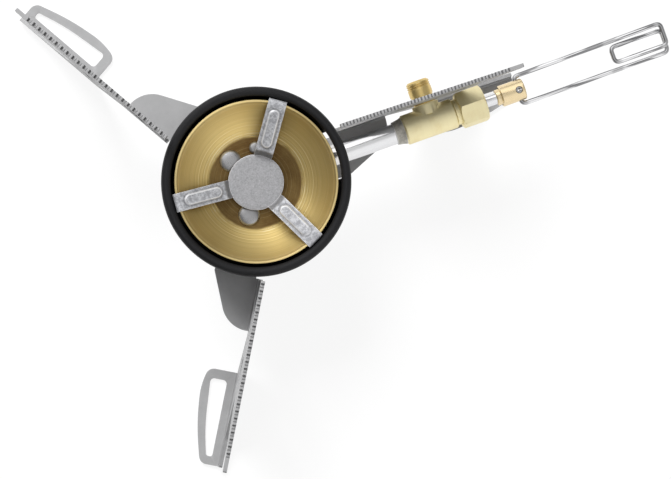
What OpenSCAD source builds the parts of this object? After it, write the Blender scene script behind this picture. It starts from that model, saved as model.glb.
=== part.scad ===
// Backpacking stove for liquid fuel and gas, with two swing legs, one fixed leg and a folding valve handle.
// The burner axis is Z, the ground is z = 0, and the fuel tube, valve and handle lie along +X. Millimetres.

/* [Stand] */
// Height of the pot rests above the ground
stand_h = 58; // [57:0.5:64]
// Thickness of the leg sheet
leg_t = 1.25; // [1:0.05:1.5]
// Inside radius of the bends in a leg
bend_r = 0.8; // [0.5:0.1:1.2]
// Distance of a leg's upright web from its radial line
web_y = 8.3; // [8.1:0.1:9]
// Direction of the fixed leg from the fuel tube
fixed_leg_a = -1; // [-1.5:0.1:1]
// Direction of the left swing leg from the fuel tube
left_leg_a = 120; // [114:0.5:126]
// Direction of the right swing leg from the fuel tube
right_leg_a = 239; // [234:0.5:246]
// Distance of the leg pivots from the burner axis
pivot_r = 10.9; // [10.6:0.1:11.6]
// Radius of a pivot rivet's shank
pivot_shank_r = 2; // [1.6:0.1:2.3]
// Height of the underside of the leg fins
fin_z = 22.7; // [20:0.1:24]
// Vertical play of a swing leg on its rivet, on each side
leg_play = 0.3; // [0.2:0.05:0.4]

/* [Pot rest] */
// Outer end of the pot rest, from the burner axis
rest_tip_s = 93.8; // [90:0.2:97]
// Length of the smooth outer end of the pot rest
rest_smooth = 4.8; // [3:0.2:7]
// Height of the pot rest's bar
rest_bar_h = 5.4; // [4.4:0.2:6.2]
// Number of teeth along the pot rest
tooth_count = 25; // [18:1:28]
// Depth of the teeth
tooth_depth = 0.9; // [0.5:0.1:1.2]

/* [Foot and fin] */
// Inner end of the foot, from the burner axis
foot_in_s = 65.2; // [63:0.2:67]
// Outer end of the foot, from the burner axis
foot_out_s = 98.4; // [96:0.2:103]
// Width of the foot at its inner end
foot_w = 13; // [11:0.2:14]
// Width of the foot at its outer end
foot_toe_w = 9; // [8:0.2:10]
// Width of the sheet left round the foot's slot
foot_rim = 2.9; // [2:0.1:3.4]
// Height of the web above the foot at its outer end
toe_lip_h = 4; // [3.2:0.1:6]
// Outer end of the fin, from the burner axis
fin_tip_s = 49.2; // [47:0.2:51]
// Radius of the fin's rounded end
fin_tip_r = 10; // [8:0.5:11]
// Radius of the fin round its pivot
fin_lug_r = 6; // [5:0.2:6.4]
// Widest reach of the fin from its radial line
fin_reach = 7.5; // [6.8:0.1:8]

/* [Burner] */
// Outer radius of the wind cup's rolled rim
rim_r = 31; // [30.6:0.1:33]
// Radius of the roll itself
roll_r = 1.6; // [1.3:0.05:1.7]
// Height of the wind cup
cup_h = 13.85; // [13:0.05:15]
// Thickness of the cup's sheet
cup_t = 0.8; // [0.6:0.05:1]
// Width of the cup's notch over the fuel tube
notch_w = 16.2; // [12:0.2:20]
// Gap between the bowl's rim and the roll of the cup
bowl_gap = 1.1; // [1:0.05:1.4]
// Depth of the bowl
bowl_depth = 10.7; // [9.5:0.1:11.5]
// Radius of the bowl's flat floor
bowl_floor_r = 15; // [14.6:0.1:17]
// Thickness of the bowl's floor
bowl_floor_t = 1.4; // [1:0.1:2]
// Thickness of the bowl's wall
bowl_wall = 0.9; // [0.7:0.05:1.2]
// Radius of the curve of the bowl's wall
bowl_curve_r = 24; // [18:1:60]
// Height of the pillars between the base plate and the cup
pillar_h = 10.2; // [9.8:0.1:13]
// Radius of the base plate
base_r = 16.6; // [16.3:0.1:17.2]
// Thickness of the base plate
base_t = 1.2; // [0.8:0.1:1.6]
// Radius of the large rivet heads in the bowl
rivet_head_r = 3.6; // [2.8:0.1:4]
// Height of the large rivet heads
rivet_head_h = 1.5; // [1:0.1:2]
// Distance of the bowl screw from the burner axis
screw_place_r = 11.5; // [10.8:0.1:12]
// Angle of the bowl screw from the fuel tube
screw_place_a = 71.4; // [68:0.2:76]
// Radius of the bowl screw's shank
screw_r = 1.5; // [1.2:0.1:1.7]

/* [Flame spreader] */
// Radius of the spreader's disc
disc_r = 9.1; // [8:0.1:10]
// Thickness of the spreader's sheet
spreader_t = 0.8; // [0.6:0.05:1]
// Height of the disc above the bowl's floor
disc_lift = 3; // [2.2:0.1:3.6]
// Width of an arm
arm_w = 6; // [4.5:0.1:7]
// Rise from the disc to the inner end of an arm
arm_rise = 3.2; // [2:0.1:4]
// Angle of the first arm from the fuel tube
arm_a = 55.6; // [40:0.2:70]
// Length of the tabs that hook over the bowl's rim
tab_l = 1.4; // [0.8:0.1:2]

/* [Fuel tube and jet] */
// Outer diameter of the fuel tube
tube_od = 7.1; // [6:0.1:7.4]
// Bore of the fuel tube
tube_id = 4.8; // [3.6:0.1:5.2]
// Radius of the jet block
block_r = 5.5; // [5:0.1:5.8]
// Across flats of the jet's hexagon
jet_af = 6.4; // [5.4:0.1:6.8]
// Radius of the jet's orifice
orifice_r = 0.2; // [0.15:0.05:0.3]
// Inner radius of the mixing tube
mix_r = 4.1; // [4:0.1:4.6]
// Wall of the mixing tube
mix_wall = 0.8; // [0.5:0.1:1]
// Thickness of the priming wick
wick_t = 1.6; // [1:0.1:1.9]

/* [Valve] */
// Start of the valve body along the fuel tube
valve_x = 53; // [52:0.2:54]
// Length of the valve body
valve_l = 18.3; // [17.6:0.1:19]
// Radius of the valve body
valve_r = 5.1; // [4.9:0.05:5.6]
// Across flats of the packing nut
nut_af = 11.4; // [10.8:0.1:11.8]
// Length of the packing nut
nut_l = 9.2; // [8.6:0.1:10]
// Turn of the packing nut from corner up, in degrees
nut_turn = -9; // [-30:1:30]
// Radius of the spindle
spindle_r = 2; // [1.7:0.05:2.1]
// Free length of spindle between nut and collar
spindle_free = 4.3; // [3:0.1:6]
// Radius of the collar on the spindle
collar_r = 3.65; // [3.5:0.05:4]
// Length of the collar
collar_l = 8.5; // [8:0.1:10]
// Radius of the fuel inlet
inlet_r = 4; // [3.6:0.05:4.2]
// Place of the fuel inlet along the fuel tube
inlet_x = 62.7; // [62:0.1:63.4]
// Reach of the fuel inlet from the fuel tube's axis
inlet_reach = 14.4; // [13:0.1:17]

/* [Handle] */
// Diameter of the handle's wire
wire_d = 1.6; // [1.3:0.05:1.8]
// Length of the handle from its pivot to its far end
handle_l = 53.3; // [48:0.1:60]
// Distance of the left strand from the centre line at the far end
strand_left = 5.5; // [5.2:0.1:6]
// Distance of the right strand from the centre line at the far end
strand_right = 4.5; // [4.3:0.1:5.2]
// Length of the wire's small inner loop
loop_l = 18.6; // [14:0.2:26]
// Distance of the inner loop's left strand from the centre line
loop_left = 3.2; // [2.6:0.1:3.4]
// Distance of the inner loop's right strand from the centre line
loop_right = 2.2; // [1.8:0.1:2.4]

/* [Hidden] */
$fn = 64;
fit_gap = 0.04;
run_gap = 0.06;
cut = 1;

// Heights from the ground up
fin_top = fin_z + leg_t;
washer_t = 0.5;
spring_t = 0.4;
base_z = fin_top + leg_play + washer_t;
base_top = base_z + base_t;
cup_z = base_top + pillar_h;
cup_floor = cup_z + cup_t;
bowl_floor = cup_floor + bowl_floor_t;
bowl_rim_z = bowl_floor + bowl_depth;
roll_z = cup_z + cup_h - roll_r;
disc_z = bowl_floor + disc_lift;

// Cup, bowl and mixing tube
roll_c = rim_r - roll_r;
cup_r = roll_c - roll_r / 4;
cup_foot_r = 2.4;
cup_hole_gap = 2.4;
notch_top_gap = 0.6;
notch_in_r = bowl_floor_r + 6;
bowl_r = roll_c - roll_r - bowl_gap;
bowl_groove = 0.5;
bowl_lip = 0.7;
mix_out = mix_r + mix_wall;
mix_stand = 0.6;

// Upright web of a leg, as places along the leg (s) and heights (z)
leg_angles = [fixed_leg_a, left_leg_a, right_leg_a];
web_in = web_y - leg_t / 2;
web_out = web_y + leg_t / 2;
bend_out = bend_r + leg_t;
plate_y = web_in - bend_r;
relief = 1.4;
window_r = inlet_r + 1.1;
rest_in_s = rim_r + 0.2;
rest_low_z = stand_h - rest_bar_h;
web_in_s = cup_r + 2.2;
lip_in_z = fin_top + 7;
lip_out_s = web_in_s + 10.5;
lip_out_z = cup_z - 1;
neck_in_s = fin_tip_s + 3.6;
neck_in_z = stand_h - 12;
neck_out_s = inlet_x + window_r + 2.8;
neck_out_z = fin_top + 3;
kink_s = foot_out_s - 10.8;
kink_z = toe_lip_h + 3;
small_r = 0.6;
edge_r = 1.2;
notch_r = 2;
sweep_r = 4;
tooth_flank = 0.22;
tooth_land = 0.28;

// Fin and foot of a leg
fin_taper = 3;
fin_edge_a = -67;
fin_lug_from = 100;
fin_lug_to = 262;
foot_y = web_out - foot_w;
foot_corner = 1.6;
foot_corner_l = 7;
foot_mid_s = foot_out_s - 13;
foot_mid_y = web_out - (foot_w + foot_toe_w) / 2 - 0.6;
foot_toe_y = web_out - foot_toe_w + 1;
foot_corner_r = 3;
foot_side_r = 24;
foot_mid_r = 80;
slot_in_s = foot_in_s + foot_rim + 0.4;
slot_out_s = foot_out_s - foot_rim;
slot_y = plate_y - foot_rim + bend_r;
slot_corner_r = 1.4;
slot_toe_r = 0.8;

// Rivets and washers
rivet_edge = 0.7 * rivet_head_h;
lower_head_r = 3.4;
lower_head_h = 1;
pivot_washer_r = fin_lug_r - 1.6;
pivot_spacer_r = pivot_shank_r + 1;
fixed_rivet_s = 13.4;
fixed_rivet_y = 4.2;
fixed_rivet_r = 1.2;
fixed_head_r = 1.9;
fixed_head_h = 0.8;
pivot_hole_r = pivot_shank_r + fit_gap;
fixed_hole_r = fixed_rivet_r + fit_gap;

// Flame spreader
riser_l = 1.2;
arm_root = 1;
arm_seat = 1.4;
arm_clear = 0.1;
tab_clear = 0.3;
rib_h = 0.35;

// Jet, bowl screw and fuel tube
boss_wall = 0.6;
boss_r = tube_od / 2 + boss_wall;
boss_x = block_r + 3.1;
tube_in_x = block_r - 1.5;
block_cap = 0.1;
tube_z = base_top + boss_r + block_cap;
block_top = tube_z + boss_r + block_cap;
gallery_r = 1.2;
ear_r = screw_r + 1.8;
ear_t = 2;
screw_head_r = screw_r + 0.55;
screw_head_h = 1.1;
screw_end_z = base_top + 0.3;
screw_hole_r = screw_r + fit_gap;
tube_hole_r = tube_od / 2 + fit_gap;
bowl_spacer_r = screw_r + 1.1;
jet_thread_r = 2.4;
jet_thread_l = 2.8;
jet_hex_h = 2.2;
nozzle_h = 1.6;
nozzle_r = 2.2;
nozzle_tip_r = 1.2;
wick_gap = 0.1;
wick_top_gap = 0.5;
wick_slot = 0.3;

// Valve
socket_l = 3.5;
ferrule_l = 3.2;
ferrule_wall = 0.4;
valve_chamfer = 0.5;
neck_r = valve_r - 0.7;
nut_x = valve_x + valve_l + 1.4;
nut_end = nut_x + nut_l;
neck_end = nut_end - 2.4;
packing_l = 3.6;
packing_end = neck_end - 0.7;
packing_x = packing_end - packing_l;
packing_r = neck_r - 1;
seat_x = valve_x + socket_l + 2.5;
chamber_r = spindle_r + 0.5;
chamber_end = inlet_x + 3.3;
needle_x = seat_x - 1;
needle_l = 3;
stub_r = inlet_r - 1;
stub_l = 2.8;
stub_play = 0.2;
inlet_boss_r = inlet_r + 0.6;
inlet_seat_y = valve_r + 1.1;
inlet_root_r = inlet_r - 0.25;
inlet_root_y = web_out + 0.3;
inlet_bore_r = 1.6;
inlet_chamfer = 0.7;
filter_l = 4;
filter_in = 1;
hub_l = 1.5;
hub_r = spindle_r + 0.7;
collar_x = nut_end + spindle_free + hub_l;
collar_end = collar_x + collar_l;
collar_chamfer = 0.4;
pivot_x = collar_end - 2.2;
spindle_end = collar_end - 0.8;
pin_r = 1.1;
pin_slit = 0.4;
pin_sunk = 0.2;

// Handle
wire_r = wire_d / 2;
wire_sides = 10;
wire_layer = wire_r + 0.2;
wire_bend = wire_d * 1.1;
strand_near = collar_r + wire_r + 0.35;
wire_pin_y = spindle_r + 0.25;

// Points of an arc about a centre
function arc(centre, r, from, to, steps = 16) =
    [for (i = [0 : steps])
        let (a = from + (to - from) * i / steps)
        centre + r * [cos(a), sin(a)]];

// Points of an arc that rounds the corner p between a and b with radius r
function unit(v) = v / norm(v);
function corner_arc(a, p, b, r, steps = 6) =
    let (u = unit(a - p), v = unit(b - p))
    let (half = acos(u * v) / 2)
    let (middle = p + unit(u + v) * r / sin(half))
    let (from = p + u * r / tan(half) - middle, to = p + v * r / tan(half) - middle)
    let (start = atan2(from.y, from.x))
    let (turn = (atan2(to.y, to.x) - start + 540) % 360 - 180)
    arc(middle, r, start, start + turn, steps);

// Outline from points [x, y, corner radius]
function flat(p) = [p.x, p.y];
function rounded(points) =
    let (n = len(points))
    [for (i = [0 : n - 1])
        each points[i].z == 0
            ? [flat(points[i])]
            : corner_arc(
                flat(points[(i + n - 1) % n]),
                flat(points[i]),
                flat(points[(i + 1) % n]),
                points[i].z)];

// Ring along Z
module ring(r_out, r_in, h) {
    difference() {
        cylinder(r = r_out, h = h);
        translate([0, 0, -cut]) cylinder(r = r_in, h = h + 2 * cut);
    }
}

// Hole down through a sheet of thickness h that lies at height z
module hole(r, z, h) {
    translate([0, 0, z - cut]) cylinder(r = r, h = h + 2 * cut);
}

// Places along the fuel tube's axis, with the child's Z turned along +X
module along_tube(x) {
    translate([x, 0, tube_z]) rotate([0, 90, 0]) children();
}

// Places along the fuel inlet's axis, with the child's Z turned along +Y
module along_inlet(y) {
    translate([inlet_x, y, tube_z]) rotate([-90, 0, 0]) children();
}

// Places on the two swing-leg pivots
module at_pivots() {
    for (a = [leg_angles[1], leg_angles[2]]) rotate(a) translate([pivot_r, 0, 0]) children();
}

// Places on the bowl screw
module at_screw() {
    rotate(screw_place_a) translate([screw_place_r, 0, 0]) children();
}

// Places on the two rivets of the fixed leg, in the leg's own frame
module at_fixed_rivets() {
    for (side = [-1, 1]) translate([fixed_rivet_s, side * fixed_rivet_y, 0]) children();
}

// Upright web of a leg: pot rest, neck, and the lips above the fin and the foot
function teeth() =
    let (start = rest_tip_s - rest_smooth)
    let (pitch = (start - rest_in_s) / tooth_count)
    [for (i = [0 : tooth_count - 1])
        let (s = start - i * pitch)
        each concat(
            i == 0 ? [] : [[s, stand_h]],
            [
                [s - tooth_flank * pitch, stand_h - tooth_depth],
                [s - (tooth_flank + tooth_land) * pitch, stand_h - tooth_depth],
                [s - (2 * tooth_flank + tooth_land) * pitch, stand_h]
            ]
        )];
function web_outline() =
    concat(
        rounded([
            [rest_in_s, stand_h, 0],
            [rest_in_s, rest_low_z, edge_r],
            [neck_in_s, neck_in_z, notch_r],
            [lip_out_s, lip_out_z, sweep_r],
            [web_in_s, lip_in_z, notch_r],
            [web_in_s, fin_z + bend_out, 0],
            [fin_tip_s, fin_z + bend_out, 0],
            [fin_tip_s + relief, fin_z + bend_out, small_r],
            [foot_in_s - relief, bend_out, small_r],
            [foot_in_s, bend_out, 0],
            [foot_out_s, bend_out, 0],
            [foot_out_s, toe_lip_h, edge_r],
            [kink_s, kink_z, sweep_r],
            [neck_out_s, neck_out_z, notch_r],
            [rest_tip_s, rest_low_z + small_r, edge_r],
            [rest_tip_s, stand_h, small_r],
            [rest_tip_s - rest_smooth, stand_h, 0]
        ]),
        teeth()
    );

// Horizontal fin that reaches in under the burner
function fin_outline() =
    concat(
        [[pivot_r, fin_lug_r]],
        arc([pivot_r, 0], fin_lug_r, fin_lug_from, fin_lug_to),
        [[web_in_s, -fin_reach]],
        arc([fin_tip_s - fin_tip_r, plate_y], fin_tip_r, fin_edge_a, 0),
        [[web_in_s, plate_y], [web_in_s - fin_taper, plate_y]]
    );

// Horizontal foot with its tapered slot
function foot_outline() =
    rounded([
        [foot_in_s, plate_y, 0],
        [foot_in_s, foot_y + foot_corner, foot_corner_r],
        [foot_in_s + foot_corner_l, foot_y, foot_side_r],
        [foot_mid_s, foot_mid_y, foot_mid_r],
        [foot_out_s, foot_toe_y, foot_corner_r],
        [foot_out_s, plate_y, 0]
    ]);
function slot_outline() =
    rounded([
        [slot_in_s, slot_y, slot_corner_r],
        [slot_in_s, foot_y + foot_rim, slot_corner_r],
        [foot_mid_s, foot_mid_y + foot_rim, foot_mid_r],
        [slot_out_s, foot_toe_y + foot_rim - edge_r, slot_toe_r],
        [slot_out_s, slot_y, slot_toe_r]
    ]);

// Quarter-round bend between a plate at height z and the web
module leg_bend(from, to, z) {
    translate([from, plate_y, z + bend_out])
        rotate([90, 0, 90])
            linear_extrude(to - from)
                intersection() {
                    difference() {
                        circle(r = bend_out);
                        circle(r = bend_r);
                    }
                    translate([0, -bend_out]) square(bend_out);
                }
}

// One leg in its own frame, with its radial line on +X
module leg(swings) {
    difference() {
        union() {
            translate([0, web_out, 0]) rotate([90, 0, 0]) linear_extrude(leg_t) polygon(web_outline());
            leg_bend(web_in_s, fin_tip_s, fin_z);
            translate([0, 0, fin_z]) linear_extrude(leg_t) polygon(fin_outline());
            leg_bend(foot_in_s, foot_out_s, 0);
            linear_extrude(leg_t)
                difference() {
                    polygon(foot_outline());
                    polygon(slot_outline());
                }
        }
        translate([inlet_x, web_out, tube_z]) rotate([90, 0, 0]) hole(window_r, 0, leg_t);
        if (swings) {
            translate([pivot_r, 0, 0]) hole(pivot_shank_r + run_gap, fin_z, leg_t);
        } else {
            at_fixed_rivets() hole(fixed_hole_r, fin_z, leg_t);
        }
    }
}

module fixed_leg() {
    color("gray") rotate(leg_angles[0]) leg(false);
}

module left_leg() {
    color("gray") rotate(leg_angles[1]) leg(true);
}

module right_leg() {
    color("gray") rotate(leg_angles[2]) leg(true);
}

module base_plate() {
    color("dimgray")
        difference() {
            translate([0, 0, base_z]) cylinder(r = base_r, h = base_t);
            at_pivots() hole(pivot_hole_r, base_z, base_t);
            rotate(fixed_leg_a) at_fixed_rivets() hole(fixed_hole_r, base_z, base_t);
        }
}

module pivot_washers() {
    color("silver")
        at_pivots() translate([0, 0, base_z - washer_t]) ring(pivot_washer_r, pivot_hole_r, washer_t);
}

module spring_washers() {
    color("silver")
        at_pivots() translate([0, 0, fin_z - leg_play - spring_t]) ring(lower_head_r, pivot_hole_r, spring_t);
}

module leg_rivets() {
    low = fin_z - leg_play - spring_t;
    color("darkgray")
        at_pivots() {
            translate([0, 0, low]) cylinder(r = pivot_shank_r, h = bowl_floor - low);
            translate([0, 0, low - lower_head_h]) cylinder(r = lower_head_r, h = lower_head_h);
            translate([0, 0, bowl_floor])
                rotate_extrude()
                    polygon(rounded([
                        [0, 0, 0],
                        [rivet_head_r, 0, 0],
                        [rivet_head_r, rivet_head_h, rivet_edge],
                        [0, rivet_head_h, 0]
                    ]));
        }
}

module pivot_spacers() {
    color("silver")
        at_pivots() translate([0, 0, base_top]) ring(pivot_spacer_r, pivot_hole_r, pillar_h);
}

module fixed_leg_rivets() {
    color("darkgray")
        rotate(fixed_leg_a)
            at_fixed_rivets() {
                translate([0, 0, fin_z]) cylinder(r = fixed_rivet_r, h = base_top - fin_z);
                translate([0, 0, base_top]) cylinder(r = fixed_head_r, h = fixed_head_h);
                translate([0, 0, fin_z - fixed_head_h]) cylinder(r = fixed_head_r, h = fixed_head_h);
            }
}

module fixed_leg_shims() {
    color("silver")
        rotate(fixed_leg_a)
            at_fixed_rivets()
                translate([0, 0, fin_top]) ring(fixed_head_r, fixed_hole_r, base_z - fin_top);
}

// Cup: floor, rounded foot, wall and rolled rim, with the notch over the fuel tube
module wind_cup() {
    foot_c = [cup_r - cup_foot_r, cup_z + cup_foot_r];
    hole_r = mix_out + cup_hole_gap;
    color([0.14, 0.14, 0.15])
        difference() {
            rotate_extrude() {
                polygon(concat(
                    [[hole_r, cup_z]],
                    arc(foot_c, cup_foot_r, -90, 0, 8),
                    [[cup_r, roll_z], [cup_r - cup_t, roll_z]],
                    arc(foot_c, cup_foot_r - cup_t, 0, -90, 8),
                    [[hole_r, cup_floor]]
                ));
                translate([roll_c, roll_z]) circle(r = roll_r);
            }
            translate([notch_in_r, -notch_w / 2, cup_z - cut])
                cube([rim_r, notch_w, roll_z - roll_r - notch_top_gap - cup_z + cut]);
            at_pivots() hole(pivot_hole_r, cup_z, cup_t);
            at_screw() hole(screw_hole_r, cup_z, cup_t);
        }
}

// Centre of the arc of the bowl's wall, from the edge of the floor to the rim
function arc_centre(a, b, r) =
    let (mid = (a + b) / 2, half = norm(b - a) / 2)
    mid + [-(b - a).y, (b - a).x] / norm(b - a) * sqrt(r * r - half * half);
function angle_of(p, centre) = atan2(p.y - centre.y, p.x - centre.x);

module burner_bowl() {
    hole_r = mix_out + fit_gap;
    foot = [bowl_floor_r + bowl_groove, bowl_floor + bowl_groove];
    edge = [bowl_r - bowl_lip, bowl_rim_z];
    lip = [bowl_r, bowl_rim_z - bowl_lip];
    centre = arc_centre(foot, edge, bowl_curve_r);
    outer_r = bowl_curve_r + bowl_wall;
    outer_from = acos((cup_floor + bowl_groove - centre.y) / outer_r) - 90;
    groove_z = bowl_floor - bowl_groove / 2;
    color("goldenrod")
        difference() {
            rotate_extrude()
                polygon(concat(
                    [[hole_r, cup_floor], [foot.x, cup_floor]],
                    arc(centre, outer_r, -outer_from, angle_of(lip, centre), 20),
                    [lip, [bowl_r, bowl_rim_z], edge],
                    arc(centre, bowl_curve_r, angle_of(edge, centre), angle_of(foot, centre), 20),
                    [[foot.x, groove_z], [bowl_floor_r, groove_z]],
                    [[bowl_floor_r, bowl_floor], [hole_r, bowl_floor]]
                ));
            at_pivots() hole(pivot_hole_r, cup_floor, bowl_floor_t);
            at_screw() hole(screw_hole_r, cup_floor, bowl_floor_t);
        }
}

module bowl_screw() {
    color("darkgray")
        at_screw() {
            translate([0, 0, screw_end_z]) cylinder(r = screw_r, h = bowl_floor - screw_end_z);
            translate([0, 0, bowl_floor]) cylinder(r = screw_head_r, h = screw_head_h);
        }
}

module bowl_spacer() {
    low = base_top + ear_t;
    color("silver") at_screw() translate([0, 0, low]) ring(bowl_spacer_r, screw_hole_r, cup_z - low);
}

module mixing_tube() {
    low = block_top + jet_hex_h / 2;
    color("goldenrod") translate([0, 0, low]) ring(mix_out, mix_r, bowl_floor + mix_stand - low);
}

// Arm of the flame spreader along +X: riser, sloping arm, pressed rib and hooked tab
module spreader_arm() {
    riser_x = disc_r + riser_l;
    seat_x = bowl_r - arm_seat;
    end_x = bowl_r + bowl_gap - tab_clear;
    top_z = bowl_rim_z + arm_clear;
    low_z = disc_z + arm_rise;
    slope = atan2(top_z - low_z, seat_x - riser_x);
    rib_w = arm_w / 2;
    rib_l = (seat_x - riser_x) * 0.78;
    half_t = spreader_t / 2;
    intersection() {
        union() {
            translate([0, arm_w / 2, 0])
                rotate([90, 0, 0])
                    linear_extrude(arm_w)
                        polygon([
                            [disc_r - arm_root, disc_z],
                            [disc_r, disc_z],
                            [riser_x + half_t, low_z],
                            [seat_x, top_z],
                            [rim_r, top_z],
                            [rim_r, top_z + spreader_t],
                            [seat_x, top_z + spreader_t],
                            [riser_x - half_t, low_z + spreader_t],
                            [disc_r - spreader_t, disc_z + spreader_t],
                            [disc_r - arm_root, disc_z + spreader_t]
                        ]);
            translate([(riser_x + seat_x) / 2, 0, (low_z + top_z) / 2 + spreader_t])
                rotate([0, -slope, 0])
                    translate([0, 0, -half_t])
                        linear_extrude(half_t + rib_h) {
                            square([rib_l - rib_w, rib_w], center = true);
                            for (side = [-1, 1])
                                translate([side * (rib_l - rib_w) / 2, 0]) circle(d = rib_w);
                        }
            translate([0, 0, top_z - tab_l])
                intersection() {
                    ring(rim_r, bowl_r + arm_clear, tab_l + spreader_t);
                    translate([0, -arm_w / 2, 0]) cube([rim_r, arm_w, tab_l + spreader_t]);
                }
        }
        cylinder(r = end_x, h = stand_h);
    }
}

module flame_spreader() {
    edge = spreader_t * 0.4;
    color("silver")
        union() {
            translate([0, 0, disc_z])
                rotate_extrude()
                    polygon(rounded([
                        [0, 0, 0],
                        [disc_r, 0, 0],
                        [disc_r, spreader_t, edge],
                        [0, spreader_t, 0]
                    ]));
            for (i = [0 : 2]) rotate(arm_a + 120 * i) spreader_arm();
        }
}

// Fuel block under the bowl, with an ear for the bowl screw and a socket for the fuel tube
module jet_block() {
    color("goldenrod")
        difference() {
            union() {
                translate([0, 0, base_top]) cylinder(r = block_r, h = block_top - base_top);
                along_tube(0) cylinder(r = boss_r, h = boss_x);
                translate([0, 0, base_top])
                    linear_extrude(ear_t) {
                        at_screw() circle(r = ear_r);
                        rotate(screw_place_a) translate([0, -ear_r]) square([screw_place_r, 2 * ear_r]);
                    }
            }
            along_tube(tube_in_x) cylinder(r = tube_hole_r, h = boss_x);
            along_tube(0) cylinder(r = gallery_r, h = boss_x);
            translate([0, 0, tube_z]) cylinder(r = gallery_r, h = boss_x);
            translate([0, 0, block_top - jet_thread_l - wick_gap])
                cylinder(r = jet_thread_r + fit_gap, h = boss_x);
            at_screw() hole(screw_hole_r, base_top, ear_t);
        }
}

module jet() {
    color("gold")
        difference() {
            union() {
                translate([0, 0, block_top - jet_thread_l]) cylinder(r = jet_thread_r, h = jet_thread_l);
                translate([0, 0, block_top]) cylinder(d = jet_af / cos(30), h = jet_hex_h, $fn = 6);
                translate([0, 0, block_top + jet_hex_h])
                    cylinder(r1 = nozzle_r, r2 = nozzle_tip_r, h = nozzle_h);
            }
            translate([0, 0, block_top - jet_thread_l - cut])
                cylinder(r = gallery_r, h = jet_thread_l + jet_hex_h + cut);
            translate([0, 0, block_top]) cylinder(r = orifice_r, h = jet_hex_h + nozzle_h + cut);
        }
}

module priming_wick() {
    low = base_top + ear_t + wick_gap;
    in_r = block_r + wick_gap;
    slot = boss_r + wick_slot;
    color("whitesmoke")
        difference() {
            translate([0, 0, low]) ring(in_r + wick_t, in_r, block_top - wick_top_gap - low);
            translate([0, -slot, base_top]) cube([rim_r, 2 * slot, stand_h]);
        }
}

module fuel_tube() {
    color("lightgray")
        along_tube(tube_in_x) ring(tube_od / 2, tube_id / 2, valve_x + socket_l - tube_in_x);
}

module tube_ferrule() {
    color("darkgray")
        difference() {
            along_tube(valve_x - ferrule_l)
                cylinder(r1 = tube_od / 2 + ferrule_wall, r2 = valve_r - valve_chamfer, h = ferrule_l);
            along_tube(valve_x - ferrule_l) hole(tube_hole_r, 0, ferrule_l);
        }
}

// Valve body: barrel, neck and inlet boss, bored for the tube, the spindle, the packing and the inlet
module valve_body() {
    color("goldenrod")
        difference() {
            union() {
                along_tube(valve_x)
                    rotate_extrude()
                        polygon([
                            [0, 0],
                            [valve_r - valve_chamfer, 0],
                            [valve_r, valve_chamfer],
                            [valve_r, valve_l - valve_chamfer],
                            [valve_r - valve_chamfer, valve_l],
                            [neck_r, valve_l],
                            [neck_r, neck_end - valve_x],
                            [0, neck_end - valve_x]
                        ]);
                along_inlet(0) cylinder(r = inlet_boss_r, h = inlet_seat_y);
            }
            along_tube(valve_x - cut) cylinder(r = tube_hole_r, h = socket_l + cut);
            along_tube(valve_x) cylinder(r = spindle_r / 2, h = valve_l);
            along_tube(seat_x) cylinder(r = chamber_r, h = chamber_end - seat_x);
            along_tube(seat_x) cylinder(r = spindle_r + run_gap, h = neck_end);
            along_tube(packing_x) cylinder(r = packing_r + fit_gap, h = neck_end);
            along_inlet(0) cylinder(r = inlet_bore_r, h = inlet_reach);
            along_inlet(inlet_seat_y - stub_l - stub_play) cylinder(r = stub_r + fit_gap, h = inlet_reach);
        }
}

module fuel_inlet() {
    root = inlet_root_y - inlet_seat_y;
    top = inlet_reach - inlet_seat_y;
    color("goldenrod")
        along_inlet(inlet_seat_y)
            rotate_extrude()
                polygon([
                    [inlet_bore_r, -stub_l],
                    [stub_r, -stub_l],
                    [stub_r, 0],
                    [inlet_root_r, 0],
                    [inlet_root_r, root],
                    [inlet_r, root],
                    [inlet_r, top - inlet_chamfer],
                    [inlet_r - inlet_chamfer, top],
                    [inlet_bore_r, top]
                ]);
}

module inlet_filter() {
    color("darkgoldenrod")
        along_inlet(inlet_reach - filter_l - filter_in) cylinder(r = inlet_bore_r - fit_gap, h = filter_l);
}

module packing() {
    color("dimgray")
        along_tube(packing_x) ring(packing_r, spindle_r + run_gap, packing_l);
}

module packing_washer() {
    color("goldenrod")
        along_tube(packing_end) ring(packing_r, spindle_r + run_gap, neck_end - packing_end);
}

module packing_nut() {
    color("goldenrod")
        difference() {
            along_tube(nut_x) rotate(nut_turn) cylinder(d = nut_af / cos(30), h = nut_l, $fn = 6);
            along_tube(nut_x - cut) cylinder(r = neck_r + fit_gap, h = neck_end - nut_x + cut);
            along_tube(nut_x) cylinder(r = spindle_r + 2 * run_gap, h = nut_l + cut);
        }
}

module valve_spindle() {
    color("lightgray")
        difference() {
            union() {
                along_tube(needle_x) cylinder(r1 = spindle_r / 4, r2 = spindle_r, h = needle_l);
                along_tube(needle_x + needle_l)
                    cylinder(r = spindle_r, h = spindle_end - needle_x - needle_l);
            }
            translate([pivot_x, 0, tube_z - collar_r]) cylinder(r = pin_r + fit_gap, h = 2 * collar_r);
        }
}

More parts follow.
